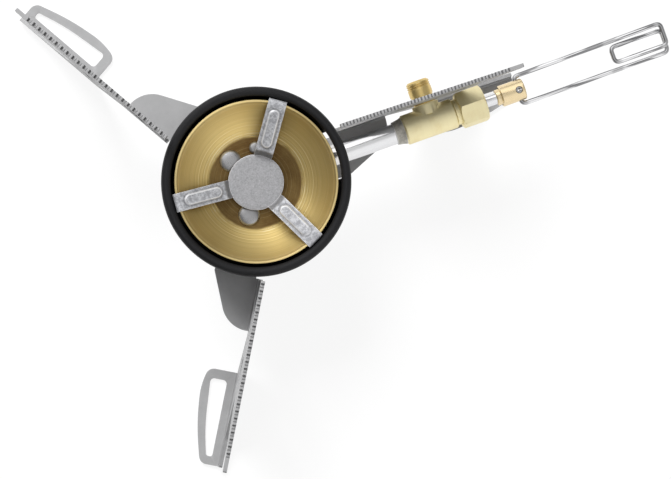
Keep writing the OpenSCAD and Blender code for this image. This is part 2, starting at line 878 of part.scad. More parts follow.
// Collar on the spindle, with the roll pin's hole and the two cross holes that the handle turns in
module spindle_collar() {
    end = hub_l + collar_l;
    color("goldenrod")
        difference() {
            along_tube(collar_x - hub_l)
                rotate_extrude()
                    polygon([
                        [0, 0],
                        [hub_r, 0],
                        [hub_r, hub_l],
                        [collar_r - collar_chamfer, hub_l],
                        [collar_r, hub_l + collar_chamfer],
                        [collar_r, end - collar_chamfer],
                        [collar_r - collar_chamfer, end],
                        [0, end]
                    ]);
            along_tube(collar_x - hub_l - cut)
                cylinder(r = spindle_r + fit_gap, h = spindle_end - collar_x + hub_l + cut);
            translate([pivot_x, 0, tube_z - collar_r - cut])
                cylinder(r = pin_r + fit_gap, h = 2 * collar_r + 2 * cut);
            translate([pivot_x, -collar_r - cut, tube_z])
                rotate([-90, 0, 0]) cylinder(r = wire_r + run_gap, h = 2 * collar_r + 2 * cut);
        }
}

module roll_pin() {
    low = tube_z - collar_r + pin_sunk;
    pin_l = 2 * (collar_r - pin_sunk);
    color("silver")
        difference() {
            translate([pivot_x, 0, low]) ring(pin_r, pin_r / 2, pin_l);
            translate([pivot_x, -pin_slit / 2, low - cut]) cube([2 * pin_r, pin_slit, pin_l + 2 * cut]);
        }
}

// Wire handle: one wire from the left hole out, round the small loop and back to the right hole.
// The two ends of the loop cross, so they lie in two layers.
function bend_at(a, p, b, run, steps = 6) =
    let (from = p + unit(a - p) * run, to = p + unit(b - p) * run)
    [for (i = [0 : steps])
        let (t = i / steps) from * (1 - t) * (1 - t) + p * 2 * t * (1 - t) + to * t * t];
function handle_route() = [
    [0, wire_pin_y, 0],
    [0, strand_near, 0],
    [handle_l, strand_left, wire_layer],
    [handle_l, -loop_right, wire_layer],
    [handle_l - loop_l, -loop_right, 0],
    [handle_l - loop_l, loop_left, 0],
    [handle_l, loop_left, -wire_layer],
    [handle_l, -strand_right, -wire_layer],
    [0, -strand_near, 0],
    [0, -wire_pin_y, 0]
];
function handle_path() =
    let (route = handle_route(), last = len(route) - 1)
    concat(
        [route[0]],
        [for (i = [1 : last - 1]) each bend_at(route[i - 1], route[i], route[i + 1], wire_bend)],
        [route[last]]
    );
function tangent(path, i) = unit(path[min(i + 1, len(path) - 1)] - path[max(i - 1, 0)]);

module wire_along(path, r, sides) {
    rings = len(path);
    points = [
        for (i = [0 : rings - 1])
            let (along = tangent(path, i))
            let (across = unit(cross([0, 0, 1], along)), up = cross(along, across))
            for (k = [0 : sides - 1])
                path[i] + r * (cos(360 * k / sides) * across + sin(360 * k / sides) * up)
    ];
    sides_faces = [
        for (i = [0 : rings - 2])
            for (k = [0 : sides - 1])
                let (a = i * sides + k, b = i * sides + (k + 1) % sides)
                each [[a, a + sides, b], [b, a + sides, b + sides]]
    ];
    first = [for (k = [1 : sides - 2]) [0, k, k + 1]];
    end = (rings - 1) * sides;
    last = [for (k = [1 : sides - 2]) [end, end + k + 1, end + k]];
    polyhedron(points, concat(sides_faces, first, last), convexity = 10);
}

module wire_handle() {
    color("lightgray")
        translate([pivot_x, 0, tube_z]) wire_along(handle_path(), wire_r, wire_sides);
}

base_plate();
pivot_washers();
spring_washers();
leg_rivets();
pivot_spacers();
fixed_leg();
left_leg();
right_leg();
fixed_leg_rivets();
fixed_leg_shims();
wind_cup();
burner_bowl();
bowl_screw();
bowl_spacer();
mixing_tube();
flame_spreader();
jet_block();
jet();
priming_wick();
fuel_tube();
tube_ferrule();
valve_body();
fuel_inlet();
inlet_filter();
packing();
packing_washer();
packing_nut();
valve_spindle();
spindle_collar();
roll_pin();
wire_handle();
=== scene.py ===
"""Visual model of a folding liquid-fuel camp stove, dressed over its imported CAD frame.

Sizes of pieces are millimetres, as in the part's source. The relief of finishes, the studio and the finished
meshes are in metres.
"""
import logging
import math
from collections.abc import Callable, Mapping, Sequence
from dataclasses import dataclass, field
from enum import Enum
from typing import ClassVar

import bmesh
import bpy
from mathutils import Matrix, Quaternion, Vector
from mathutils.geometry import delaunay_2d_cdt


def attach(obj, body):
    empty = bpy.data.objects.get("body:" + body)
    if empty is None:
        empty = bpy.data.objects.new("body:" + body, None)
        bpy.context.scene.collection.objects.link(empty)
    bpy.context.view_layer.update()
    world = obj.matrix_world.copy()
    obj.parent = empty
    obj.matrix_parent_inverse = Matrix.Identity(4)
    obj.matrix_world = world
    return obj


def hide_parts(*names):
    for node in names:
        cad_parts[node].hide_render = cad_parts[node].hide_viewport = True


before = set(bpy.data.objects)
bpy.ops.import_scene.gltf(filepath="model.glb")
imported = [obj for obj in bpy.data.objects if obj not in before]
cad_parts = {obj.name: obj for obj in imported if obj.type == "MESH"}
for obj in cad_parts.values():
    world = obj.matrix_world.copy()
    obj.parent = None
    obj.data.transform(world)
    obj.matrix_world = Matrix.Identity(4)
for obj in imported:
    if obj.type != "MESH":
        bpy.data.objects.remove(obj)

LOG = logging.getLogger("stove")
MM = 0.001
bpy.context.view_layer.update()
SHARP = 35.0  # degrees above which an edge is shaded sharp
CLEAR = 1.0  # how far a cutting tool stands out of what it cuts
SNUG = 0.04  # play round what sits in a bore
BEVEL_FROM = 40.0  # degrees above which an edge is rounded

Pair = tuple[float, float]
Triple = tuple[float, float, float]
Colour = tuple[float, float, float]


class Body(Enum):
    """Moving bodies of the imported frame."""

    BASE = "base"
    LEFT_LEG = "left_leg"
    RIGHT_LEG = "right_leg"
    SPREADER = "spreader"
    SPINDLE = "spindle"
    HANDLE = "handle"


class Slot(Enum):
    """Material slots of the record."""

    BLACK_ENAMEL = "black_enamel"
    BURNER_BRASS = "burner_brass"
    VALVE_BRASS = "valve_brass"
    FILTER_BRASS = "filter_brass"
    LEG_STEEL = "leg_steel"
    SPREADER_STEEL = "spreader_steel"
    RIVET_STEEL = "rivet_steel"
    PLATE_STEEL = "plate_steel"
    FERRULE_STEEL = "ferrule_steel"
    TUBE_CHROME = "tube_chrome"
    WIRE_CHROME = "wire_chrome"
    WICK_FIBRE = "wick_fibre"
    PACKING_RUBBER = "packing_rubber"


class Axis(Enum):
    """Direction in which a turned surface carries its tool marks."""

    TUBE = "along X"
    INLET = "along Y"


# Shader nodes


@dataclass(frozen=True)
class Wire:
    """An output socket that takes part in Python sums."""

    tree: bpy.types.NodeTree
    socket: bpy.types.NodeSocket

    def math(self, operation: str, first: "Wire | float", second: "Wire | float" = 0.0) -> "Wire":
        """Adds a Math node.

        Args:
            operation: Name of the Math operation.
            first: First operand.
            second: Second operand, where the operation takes one.

        Returns:
            The node's result.
        """
        node = self.tree.nodes.new("ShaderNodeMath")
        node.operation = operation
        for socket, value in zip(node.inputs, (first, second)):
            if isinstance(value, Wire):
                self.tree.links.new(value.socket, socket)
            else:
                socket.default_value = value
        return Wire(self.tree, node.outputs[0])

    def __add__(self, other: "Wire | float") -> "Wire":
        """Sum."""
        return self.math("ADD", self, other)

    def __sub__(self, other: "Wire | float") -> "Wire":
        """Difference."""
        return self.math("SUBTRACT", self, other)

    def __rsub__(self, other: float) -> "Wire":
        """Difference from a number on the left."""
        return self.math("SUBTRACT", other, self)

    def __mul__(self, other: "Wire | float") -> "Wire":
        """Product."""
        return self.math("MULTIPLY", self, other)

    __radd__ = __add__
    __rmul__ = __mul__

    def __pow__(self, other: float) -> "Wire":
        """Power."""
        return self.math("POWER", self, other)

    def __abs__(self) -> "Wire":
        """Size without its sign."""
        return self.math("ABSOLUTE", self)

    def most(self, other: "Wire | float") -> "Wire":
        """Larger of two values."""
        return self.math("MAXIMUM", self, other)

    def sine(self) -> "Wire":
        """Sine of the value."""
        return self.math("SINE", self)


class Nodes:
    """Adds nodes to one node tree."""

    def __init__(self, tree: bpy.types.NodeTree) -> None:
        """Empties the tree, of a material or of the world."""
        self.tree = tree
        tree.nodes.clear()

    def node(
        self,
        kind: str,
        settings: Mapping[str, object] | None = None,
        inputs: Mapping[str | int, object] | None = None,
    ) -> bpy.types.Node:
        """Adds a node.

        Args:
            kind: Type of the node.
            settings: Properties, set first.
            inputs: Values or links by socket name or number.

        Returns:
            The node.
        """
        node = self.tree.nodes.new(kind)
        for key, value in (settings or {}).items():
            setattr(node, key, value)
        for key, value in (inputs or {}).items():
            source = value.socket if isinstance(value, Wire) else value
            if isinstance(source, bpy.types.NodeSocket):
                self.tree.links.new(source, node.inputs[key])
            else:
                node.inputs[key].default_value = source
        return node

    def wire(self, node: bpy.types.Node, output: str | int = 0) -> Wire:
        """Output of a node as a value for sums."""
        return Wire(self.tree, node.outputs[output])

    def coords(self) -> Wire:
        """Place on the part, in metres, which moves with its body."""
        return self.wire(self.node("ShaderNodeTexCoord"), "Object")

    def split(self, vector: Wire) -> tuple[Wire, Wire, Wire]:
        """X, y and z of a vector."""
        node = self.node("ShaderNodeSeparateXYZ", inputs={0: vector})
        return self.wire(node, 0), self.wire(node, 1), self.wire(node, 2)

    @staticmethod
    def from_axis(x: Wire, y: Wire) -> Wire:
        """Distance from the burner's axis."""
        return (x * x + y * y) ** 0.5

    def noise(
        self, place: Wire, scale: float, detail: float = 3.0, rough: float = 0.5, socket: str = "Vector"
    ) -> Wire:
        """Cloudy value from 0 to 1.

        Args:
            place: Vector that it is read at, or a place along a line.
            scale: Clouds per metre.
            detail: Number of finer layers.
            rough: Weight of the finer layers.
            socket: "Vector" for clouds in space, "W" for lines across a direction.

        Returns:
            The value.
        """
        settings = {"noise_dimensions": "1D" if socket == "W" else "3D"}
        inputs = {socket: place, "Scale": scale, "Detail": detail, "Roughness": rough}
        return self.wire(self.node("ShaderNodeTexNoise", settings, inputs))

    def lines(self, along: Wire, scale: float, detail: float, rough: float) -> Wire:
        """Uneven lines across one direction, as a turning tool leaves them."""
        return self.noise(along, scale, detail, rough, "W")

    def ease(self, value: Wire, low: float, high: float) -> Wire:
        """Smooth step from 0 at low to 1 at high.

        Args:
            value: Value to test.
            low: Where the step starts.
            high: Where the step ends.

        Returns:
            Value from 0 to 1.
        """
        settings = {"interpolation_type": "SMOOTHSTEP"}
        inputs = {"Value": value, "From Min": low, "From Max": high}
        return self.wire(self.node("ShaderNodeMapRange", settings, inputs))

    def ease_mm(self, value: Wire, low: float, high: float) -> Wire:
        """Smooth step between two places in millimetres."""
        return self.ease(value, low * MM, high * MM)

    def near_mm(self, value: Wire, full: float, none: float) -> Wire:
        """1 up to one distance from 0 and 0 from another, in millimetres."""
        return 1 - self.ease_mm(abs(value), full, none)

    def band_mm(self, value: Wire, low: float, full: float, fade: float, high: float) -> Wire:
        """1 between a rising and a falling step, in millimetres."""
        return self.ease_mm(value, low, full) * (1 - self.ease_mm(value, fade, high))

    @staticmethod
    def rgba(colour: Colour | Wire) -> tuple[float, ...] | Wire:
        """Colour as a socket takes it."""
        return (*colour, 1.0) if isinstance(colour, tuple) else colour

    def mix(
        self, factor: Wire | float, first: Colour | Wire, second: Colour | Wire, blend: str = "MIX"
    ) -> Wire:
        """Colour between two colours.

        Args:
            factor: 0 for the first colour, 1 for the second.
            first: First colour.
            second: Second colour.
            blend: How the second is laid over the first.

        Returns:
            The colour.
        """
        settings = {"data_type": "RGBA", "blend_type": blend}
        inputs = {0: factor, 6: self.rgba(first), 7: self.rgba(second)}
        return self.wire(self.node("ShaderNodeMix", settings, inputs), 2)

    def tint(self, colour: Colour | Wire, shade: Wire) -> Wire:
        """Colour made darker or lighter by a factor, 1 to keep it."""
        grey = self.node("ShaderNodeCombineXYZ", inputs={0: shade, 1: shade, 2: shade})
        return self.mix(1.0, colour, self.wire(grey), "MULTIPLY")

    def edges(self, radius: float) -> Wire:
        """1 along outer and inner edges, 0 on open faces.

        Args:
            radius: Reach of the edge, in metres.

        Returns:
            The mask.
        """
        soft = self.node("ShaderNodeBevel", {"samples": 6}, {"Radius": radius})
        flat = self.node("ShaderNodeNewGeometry")
        turn = self.node(
            "ShaderNodeVectorMath",
            {"operation": "DOT_PRODUCT"},
            {0: soft.outputs[0], 1: flat.outputs["Normal"]},
        )
        return self.ease(1 - self.wire(turn, "Value"), 0.01, 0.2)


class Recipe(Nodes):
    """Node tree of one finish."""

    def __init__(self, name: str) -> None:
        """Makes the material.

        Args:
            name: Name of the material.
        """
        self.material = bpy.data.materials.new(name)
        self.material.use_nodes = True
        super().__init__(self.material.node_tree)

    def done(
        self, height: Wire, depth: float, colour: Wire, rough: Wire, **fixed: float
    ) -> bpy.types.Material:
        """Joins the values to the surface shader.

        Args:
            height: Relief, from 0 to 1.
            depth: Depth of the relief, in metres.
            colour: Base colour.
            rough: Roughness.
            **fixed: Numbers for other sockets, with _ for a space in their names.

        Returns:
            The material.
        """
        bump = self.node("ShaderNodeBump", inputs={"Distance": depth, "Height": height})
        inputs = {"Base Color": colour, "Roughness": rough, "Normal": bump.outputs[0]}
        for key, value in fixed.items():
            inputs[key.replace("_", " ").title().replace("Ior", "IOR")] = value
        shader = self.node("ShaderNodeBsdfPrincipled", inputs=inputs)
        self.node("ShaderNodeOutputMaterial", inputs={"Surface": shader.outputs[0]})
        return self.material


# Finishes


@dataclass(frozen=True)
class Finish:
    """A surface with its main colour, which becomes one material."""

    name: str
    colour: Colour


@dataclass(frozen=True)
class RolledSteel(Finish):
    """Satin sheet steel with rolling lines, a fine grain, faint stains, bright sheared edges and painted
    shade on the flanks of the teeth.
    """

    edge_colour: Colour = (0.62, 0.62, 0.63)
    rough: float = 0.42
    grain: float = 5200.0
    stain: float = 160.0
    depth: float = 0.000012
    metal: float = 0.3
    notch: Pair = (0.0, 0.0)
    # Colour of the shade painted on the teeth's flanks.
    flank_shade: Colour = (0.17, 0.17, 0.173)
    rolling: float = 1400.0

    def make(self) -> bpy.types.Material:
        """Makes the material.

        Returns:
            The material.
        """
        r = Recipe(self.name)
        place = r.coords()
        grain = r.noise(place, self.grain, 2.0, 0.6)
        stain = r.noise(place, self.stain, 5.0, 0.62)
        z = r.split(place)[2]
        rolled = r.lines(z, self.rolling, 5.0, 0.75) * (0.4 + 0.6 * stain)
        edge = r.edges(0.0003) * r.ease(r.noise(place, 900.0), 0.3, 0.6)
        body = r.tint(self.colour, 0.7 + 0.14 * grain + 0.26 * stain + 0.3 * rolled)
        bright = r.mix(edge * 0.75, body, self.edge_colour)
        # Painted shade: the teeth's sloping flanks are darkened.
        colour = r.mix(self.sloped(r, z) * 0.8, bright, self.flank_shade)
        rough = self.rough - 0.13 + 0.1 * grain + 0.12 * stain + 0.1 * rolled - 0.12 * edge
        return r.done(grain * 0.7 + stain * 0.3, self.depth, colour, rough, metallic=self.metal)

    def sloped(self, r: Recipe, z: Wire) -> Wire:
        """1 on the sloping faces between two heights, such as the flanks of the teeth, where shade is
        painted.

        Args:
            r: Node tree.
            z: Height on the part.

        Returns:
            The mask.
        """
        up = r.split(r.wire(r.node("ShaderNodeNewGeometry"), "Normal"))[2]
        low, high = self.notch
        within = r.band_mm(z, low, low + 0.1, high - 0.1, high)
        return within * r.ease(up, 0.15, 0.35) * (1 - r.ease(up, 0.7, 0.9))


@dataclass(frozen=True)
class StampedSteel(Finish):
    """Stamped sheet: a finely blasted disc and mottled arms, with painted highlights along the ribs' edges,
    a painted shadow line beside them and painted shade on the risers.
    """

    dark: Colour = (0.34, 0.345, 0.37)
    light: Colour = (0.74, 0.75, 0.78)
    # Colour of the painted shadow beside the ribs and the painted shade on the risers.
    shadow_colour: Colour = (0.1, 0.1, 0.105)
    # Colour of bare metal at the edges and of the painted highlights along the ribs.
    bare_and_highlight: Colour = (0.97, 0.97, 0.98)
    rough: float = 0.42
    depth: float = 0.00004
    disc_r: float = 9.1
    first_arm: float = 55.6
    rib: Triple = (17.8, 4.45, 1.55)
    metal: float = 0.6

    def rib_edge(self, x: Wire, y: Wire, radius: Wire) -> Wire:
        """Distance outwards from the edge of the rib on the nearest arm.

        Args:
            x: Place along X.
            y: Place along Y.
            radius: Distance from the axis.

        Returns:
            The distance, in metres, less than 0 on the rib.
        """
        sector = math.tau / 3
        turn = x.math("ARCTAN2", y, x) - (math.radians(self.first_arm) - sector / 2)
        angle = turn.math("FLOORED_MODULO", turn, sector) - sector / 2
        middle, half, width = (size * MM for size in self.rib)
        along = radius * angle.math("COSINE", angle) - middle
        past = (abs(along) - half).most(0.0)
        across = radius * angle.sine()
        return (past * past + across * across) ** 0.5 - width

    def make(self) -> bpy.types.Material:
        """Makes the material.

        Returns:
            The material.
        """
        r = Recipe(self.name)
        place = r.coords()
        x, y, _ = r.split(place)
        radius = r.from_axis(x, y)
        arm = r.ease_mm(radius, self.disc_r, self.disc_r + 1.2)
        patch = r.noise(place, 850.0, 5.0, 0.7)
        grit = r.noise(place, 2600.0, 3.0, 0.75)
        cells = r.node("ShaderNodeTexVoronoi", inputs={"Vector": place, "Scale": 2400.0})
        dents = r.ease(r.wire(cells, "Distance"), 0.0, 0.7)
        off = self.rib_edge(x, y, radius)
        # Painted highlight along the ribs' edges, a painted shadow line just outside it, and painted shade
        # on the riser next to the disc.
        rubbed = r.near_mm(off, 0.1, 0.34)
        rib_shadow = r.band_mm(off, 0.3, 0.5, 0.6, 1.0)
        fold = r.band_mm(radius - self.disc_r * MM, -0.1, 0.3, 1.0, 1.8)
        # Edges are brightened as bare metal, together with the painted rib highlight.
        edge = r.edges(0.0005).most(rubbed * 0.85)
        speck = r.noise(place, 1500.0, 4.0, 0.8)
        blasted = r.tint(self.colour, 1.3 * speck + 0.5 * grit + 0.2 * dents)
        mottled = r.mix(r.ease(patch + (grit - 0.5) * 0.4, 0.36, 0.64), self.dark, self.light)
        clean = r.mix(arm * 0.75, blasted, mottled)
        # Painted shadow and painted shade laid on.
        shadowed = r.mix((rib_shadow * arm * 0.45).most(fold * 0.5), clean, self.shadow_colour)
        colour = r.mix(edge * 0.85, shadowed, self.bare_and_highlight)
        rough = self.rough + 0.1 * patch + 0.1 * grit - 0.12 * edge
        height = arm * patch * 0.6 + grit * 0.25 + dents * 0.15
        return r.done(height, self.depth, colour, rough, metallic=self.metal)


@dataclass(frozen=True)
class BurnerBrass(Finish):
    """Turned brass of the bowl: rings of the tool, a floor darkened by heat tint and painted shade, and
    painted highlights on the rim and tool rings.
    """

    # Darker floor colour, for heat tint and for painted shade under the spreader.
    heat_and_shade_colour: Colour = (0.145, 0.083, 0.028)
    # Pale colour for painted highlights on the rim and tool rings, and for paler turned rings.
    pale: Colour = (0.95, 0.8, 0.46)
    floor_r: float = 15.0
    rim_r: float = 25.2
    rough: float = 0.33
    metal: float = 0.95
    drawn: float = 0.85
    depth: float = 0.00004
    ragged: float = 0.0012

    def make(self) -> bpy.types.Material:
        """Makes the material.

        Returns:
            The material.
        """
        r = Recipe(self.name)
        place = r.coords()
        x, y, _ = r.split(place)
        radius = r.from_axis(x, y)
        fine = r.lines(radius, 9000.0, 3.0, 0.6)
        wide = r.lines(radius, 1300.0, 5.0, 0.72)
        heat = r.noise(place, 120.0, 4.0, 0.6)
        out = radius - self.floor_r * MM
        inner = 1 - r.ease_mm(out + (heat - 0.5) * self.ragged, -0.2, 0.7)
        rim = r.ease_mm(radius, self.rim_r - 0.4, self.rim_r)
        # Floor darkened by heat tint and by painted shade.
        heat_and_shade_floor = r.mix(inner * (0.74 + 0.4 * heat), self.colour, self.heat_and_shade_colour)
        # Painted highlight round the rim.
        bright = r.mix(rim * 0.3, heat_and_shade_floor, self.pale)
        # Painted highlights on scored tool rings low on the wall and at the floor's edge.
        band = r.band_mm(out, 0.0, 0.6, 3.4, 5.2)
        step = r.near_mm(out - 0.6 * MM, 0.06, 0.24)
        score = r.ease(r.lines(radius, 2600.0, 2.0, 0.5), 0.56, 0.64)
        ring_highlights = (score * band).most(step) * r.ease(heat, 0.38, 0.56)
        scored = r.ease(wide, 0.56, 0.74) * (0.45 - 0.33 * inner)
        # Pale mix: painted highlights on the rings, and paler turned rings.
        streak = r.mix(scored.most(ring_highlights * 0.8), bright, self.pale)
        colour = r.tint(streak, 0.76 + 0.26 * wide + 0.14 * fine)
        rough = self.rough - 0.06 + 0.14 * wide + 0.1 * heat - 0.12 * ring_highlights
        return r.done(
            fine * 0.45 + wide * 0.55, self.depth, colour, rough,
            metallic=self.metal, anisotropic=self.drawn, anisotropic_rotation=0.25,
        )


@dataclass(frozen=True)
class TurnedBrass(Finish):
    """Bright machined brass with fine tool lines and tarnish in clouds and spots."""

    axis: Axis
    tarnish: Colour = (0.82, 0.66, 0.33)
    edge_colour: Colour = (0.94, 0.83, 0.52)
    rough: float = 0.44
    depth: float = 0.000018
    metal: float = 0.96
    worn: float = 0.45

    def make(self) -> bpy.types.Material:
        """Makes the material.

        Returns:
            The material.
        """
        r = Recipe(self.name)
        place = r.coords()
        x, y, _ = r.split(place)
        along = x if self.axis is Axis.TUBE else y
        fine = r.lines(along, 7000.0, 3.0, 0.6)
        wide = r.lines(along, 900.0, 3.0, 0.6)
        cloud = r.noise(place, 260.0, 5.0, 0.6)
        spots = r.ease(r.noise(place, 1500.0, 3.0, 0.6), 0.6, 0.78)
        edge = r.edges(0.00025)
        body = r.mix(r.ease(cloud, 0.46, 0.8) * 0.32 + spots * 0.14, self.colour, self.tarnish)
        shaded = r.tint(body, 0.9 + 0.12 * fine + 0.06 * wide)
        colour = r.mix(edge * self.worn, shaded, self.edge_colour)
        rough = self.rough - 0.04 + 0.08 * fine + 0.12 * cloud
        return r.done(fine * 0.7 + wide * 0.3, self.depth, colour, rough, metallic=self.metal)


@dataclass(frozen=True)
class Polished(Finish):
    """Polished stainless steel with drawn lines, wiping marks, painted dark reflection streaks where asked
    and a trace of heat near the burner.
    """

    heat_to: float = 0.0
    rough: float = 0.1
    # Weight of the painted dark reflection streaks, 0 for none.
    streak: float = 0.0
    bars: tuple[float, ...] = ()
    straw: Colour = (0.62, 0.5, 0.33)
    # Colour of the painted dark reflection streaks.
    dark: Colour = (0.1, 0.1, 0.105)
    heat_l: float = 14.0
    depth: float = 0.000006

    def make(self) -> bpy.types.Material:
        """Makes the material.

        Returns:
            The material.
        """
        r = Recipe(self.name)
        place = r.coords()
        x, y, z = r.split(place)
        drawn = r.node("ShaderNodeCombineXYZ", inputs={0: x * 0.06, 1: y, 2: z})
        line = r.noise(r.wire(drawn), 5200.0, 3.0, 0.6)
        smear = r.noise(place, 230.0, 4.0, 0.6)
        warm = 1 - r.ease_mm(x, self.heat_to - self.heat_l, self.heat_to)
        heated = r.mix(warm * (0.35 + 0.5 * smear) * 0.7, self.colour, self.straw)
        clean = r.tint(heated, 0.93 + 0.08 * line + 0.05 * smear)
        # Painted reflection: dark streaks along the wire, eased toward a mid value near its crossbars.
        dark_reflection = r.ease(r.noise(r.wire(drawn), 1100.0, 1.0, 0.5), 0.46, 0.56)
        for bar in self.bars:
            dark_reflection = dark_reflection + r.near_mm(x - bar * MM, 1.2, 3.0) * (0.55 - dark_reflection)
        colour = r.mix(dark_reflection * self.streak, clean, self.dark)
        rough = self.rough - 0.03 + 0.06 * line + 0.09 * r.ease(smear, 0.4, 0.8)
        return r.done(line, self.depth, colour, rough, metallic=1.0)


@dataclass(frozen=True)
class Enamel(Finish):
    """Satin black enamel on sheet, rubbed through to grey in places along its edges."""

    rubbed: Colour = (0.06, 0.06, 0.065)
    rough: float = 0.4
    depth: float = 0.00003
    gloss: float = 0.32

    def make(self) -> bpy.types.Material:
        """Makes the material.

        Returns:
            The material.
        """
        r = Recipe(self.name)
        place = r.coords()
        peel = r.noise(place, 1500.0, 2.0, 0.5)
        dust = r.noise(place, 6000.0, 2.0, 0.6)
        cloud = r.noise(place, 140.0, 4.0, 0.6)
        rub = r.ease(r.noise(place, 700.0, 6.0, 0.75), 0.62, 0.72) * r.ease(cloud, 0.5, 0.7)
        edge = r.edges(0.0004) * r.ease(dust, 0.42, 0.62)
        body = r.tint(self.colour, 0.8 + 0.3 * cloud + 0.2 * dust)
        colour = r.mix((rub * 0.35).most(edge * 0.6), body, self.rubbed)
        rough = self.rough + 0.1 * cloud + 0.1 * dust - 0.06 * rub
        return r.done(peel * 0.7 + dust * 0.3, self.depth, colour, rough, specular_ior_level=self.gloss)


@dataclass(frozen=True)
class Fibre(Finish):
    """Woven glass fibre."""

    pitch: float = 0.0007

    def make(self) -> bpy.types.Material:
        """Makes the material.

        Returns:
            The material.
        """
        r = Recipe(self.name)
        place = r.coords()
        x, y, z = r.split(place)
        turn = y.math("ARCTAN2", y, x)
        over = (turn * 60.0).sine() * (z * (math.tau / self.pitch)).sine()
        fuzz = r.noise(place, 4200.0, 3.0, 0.6)
        colour = r.tint(self.colour, 0.8 + 0.12 * over + 0.16 * fuzz)
        return r.done(over * 0.35 + fuzz * 0.4 + 0.4, 0.0002, colour, 0.86 + 0.1 * fuzz)


@dataclass(frozen=True)
class Rubber(Finish):
    """Matt packing rubber."""

    def make(self) -> bpy.types.Material:
        """Makes the material.

        Returns:
            The material.
        """
        r = Recipe(self.name)
        grain = r.noise(r.coords(), 3000.0, 3.0, 0.6)
        return r.done(grain, 0.00003, r.tint(self.colour, 0.8 + 0.4 * grain), 0.7 + 0.15 * grain)


class Palette:
    """Every finish of the stove, made once."""

    FINISHES = {
        Slot.BLACK_ENAMEL: Enamel("black_enamel", (0.009, 0.009, 0.01)),
        Slot.BURNER_BRASS: BurnerBrass("burner_brass", (0.93, 0.71, 0.29)),
        Slot.VALVE_BRASS: TurnedBrass("valve_brass", (1.0, 0.9, 0.57), Axis.TUBE),
        Slot.FILTER_BRASS: RolledSteel("filter_brass", (0.6, 0.45, 0.2), (0.7, 0.55, 0.3), 0.6),
        # Shade is painted on the teeth's flanks between these heights.
        Slot.LEG_STEEL: RolledSteel(
            "leg_steel", (0.44, 0.44, 0.445), (0.58, 0.58, 0.59), 0.46, notch=(56.9, 57.98)
        ),
        Slot.SPREADER_STEEL: StampedSteel("spreader_steel", (0.42, 0.42, 0.435)),
        Slot.RIVET_STEEL: RolledSteel(
            "rivet_steel", (0.4, 0.4, 0.41), (0.5, 0.5, 0.51), 0.28, stain=300.0, metal=0.9
        ),
        Slot.PLATE_STEEL: RolledSteel("plate_steel", (0.42, 0.42, 0.43), rough=0.4),
        Slot.FERRULE_STEEL: StampedSteel(
            "ferrule_steel", (0.56, 0.54, 0.49), (0.44, 0.42, 0.37), (0.68, 0.65, 0.58), rough=0.36
        ),
        Slot.TUBE_CHROME: Polished("tube_chrome", (0.78, 0.78, 0.79), 34.0, 0.16),
        # The wire carries painted dark reflection streaks.
        Slot.WIRE_CHROME: Polished(
            "wire_chrome", (0.8, 0.8, 0.81), rough=0.09, streak=0.8, bars=(94.0, 128.7, 147.3)
        ),
        Slot.WICK_FIBRE: Fibre("wick_fibre", (0.72, 0.7, 0.62)),
        Slot.PACKING_RUBBER: Rubber("packing_rubber", (0.03, 0.03, 0.03)),
    }

    SPECIAL = {
        "fuel_inlet": TurnedBrass("inlet_brass", (0.74, 0.55, 0.22), Axis.INLET, rough=0.28),
        "spindle_collar": TurnedBrass(
            "collar_brass", (0.86, 0.7, 0.44), Axis.TUBE, rough=0.2, depth=0.000002, worn=0.1
        ),
    }

    def __init__(self) -> None:
        """Makes the materials."""
        self.materials = {slot: finish.make() for slot, finish in self.FINISHES.items()}
        self.special = {node: finish.make() for node, finish in self.SPECIAL.items()}

    def finish(self, slot: Slot, node: str) -> bpy.types.Material:
        """Finish of a node, which is its slot's unless it has one of its own."""
        return self.special.get(node, self.materials[slot])

    def dress_node(self, node: str, slot: Slot) -> None:
        """Gives a CAD node its finish.

        Args:
            node: Name of the node.
            slot: Its material slot.
        """
        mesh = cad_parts[node].data
        mesh.materials.clear()
        mesh.materials.append(self.materials[slot])
        LOG.info("%s keeps its solid, in %s", node, slot.value)


# Outlines and meshes


def arc(centre: Pair, radius: float, start: float, end: float, steps: int = 16) -> list[Pair]:
    """Points of an arc between two angles in degrees, both ends included."""
    angles = [math.radians(start + (end - start) * i / steps) for i in range(steps + 1)]
    return [(centre[0] + radius * math.cos(a), centre[1] + radius * math.sin(a)) for a in angles]


def corner_arc(before: Pair, corner: Pair, after: Pair, radius: float, steps: int) -> list[Pair]:
    """Points of an arc that rounds a corner.

    Args:
        before: Point before the corner.
        corner: The corner.
        after: Point after the corner.
        radius: Radius of the arc.
        steps: Number of steps.

    Returns:
        The points.
    """
    point = Vector(corner)
    back, on = (Vector(before) - point).normalized(), (Vector(after) - point).normalized()
    half = back.angle(on) / 2
    middle = point + (back + on).normalized() * radius / math.sin(half)
    first = point + back * radius / math.tan(half) - middle
    last = point + on * radius / math.tan(half) - middle
    start = math.atan2(first.y, first.x)
    turn = (math.atan2(last.y, last.x) - start + 3 * math.pi) % math.tau - math.pi
    return arc(tuple(middle), radius, math.degrees(start), math.degrees(start + turn), steps)


def rounded(corners: Sequence[Triple], steps: int = 6, closed: bool = True) -> list[Pair]:
    """Outline with its corners rounded.

    Args:
        corners: Points with the radius of each corner, 0 for a sharp one.
        steps: Steps in each corner.
        closed: Whether the last point joins the first.

    Returns:
        The outline's points.
    """
    count = len(corners)
    points: list[Pair] = []
    for i, (x, y, radius) in enumerate(corners):
        if radius == 0 or (not closed and i in (0, count - 1)):
            points.append((x, y))
        else:
            points += corner_arc(corners[i - 1][:2], (x, y), corners[(i + 1) % count][:2], radius, steps)
    return points


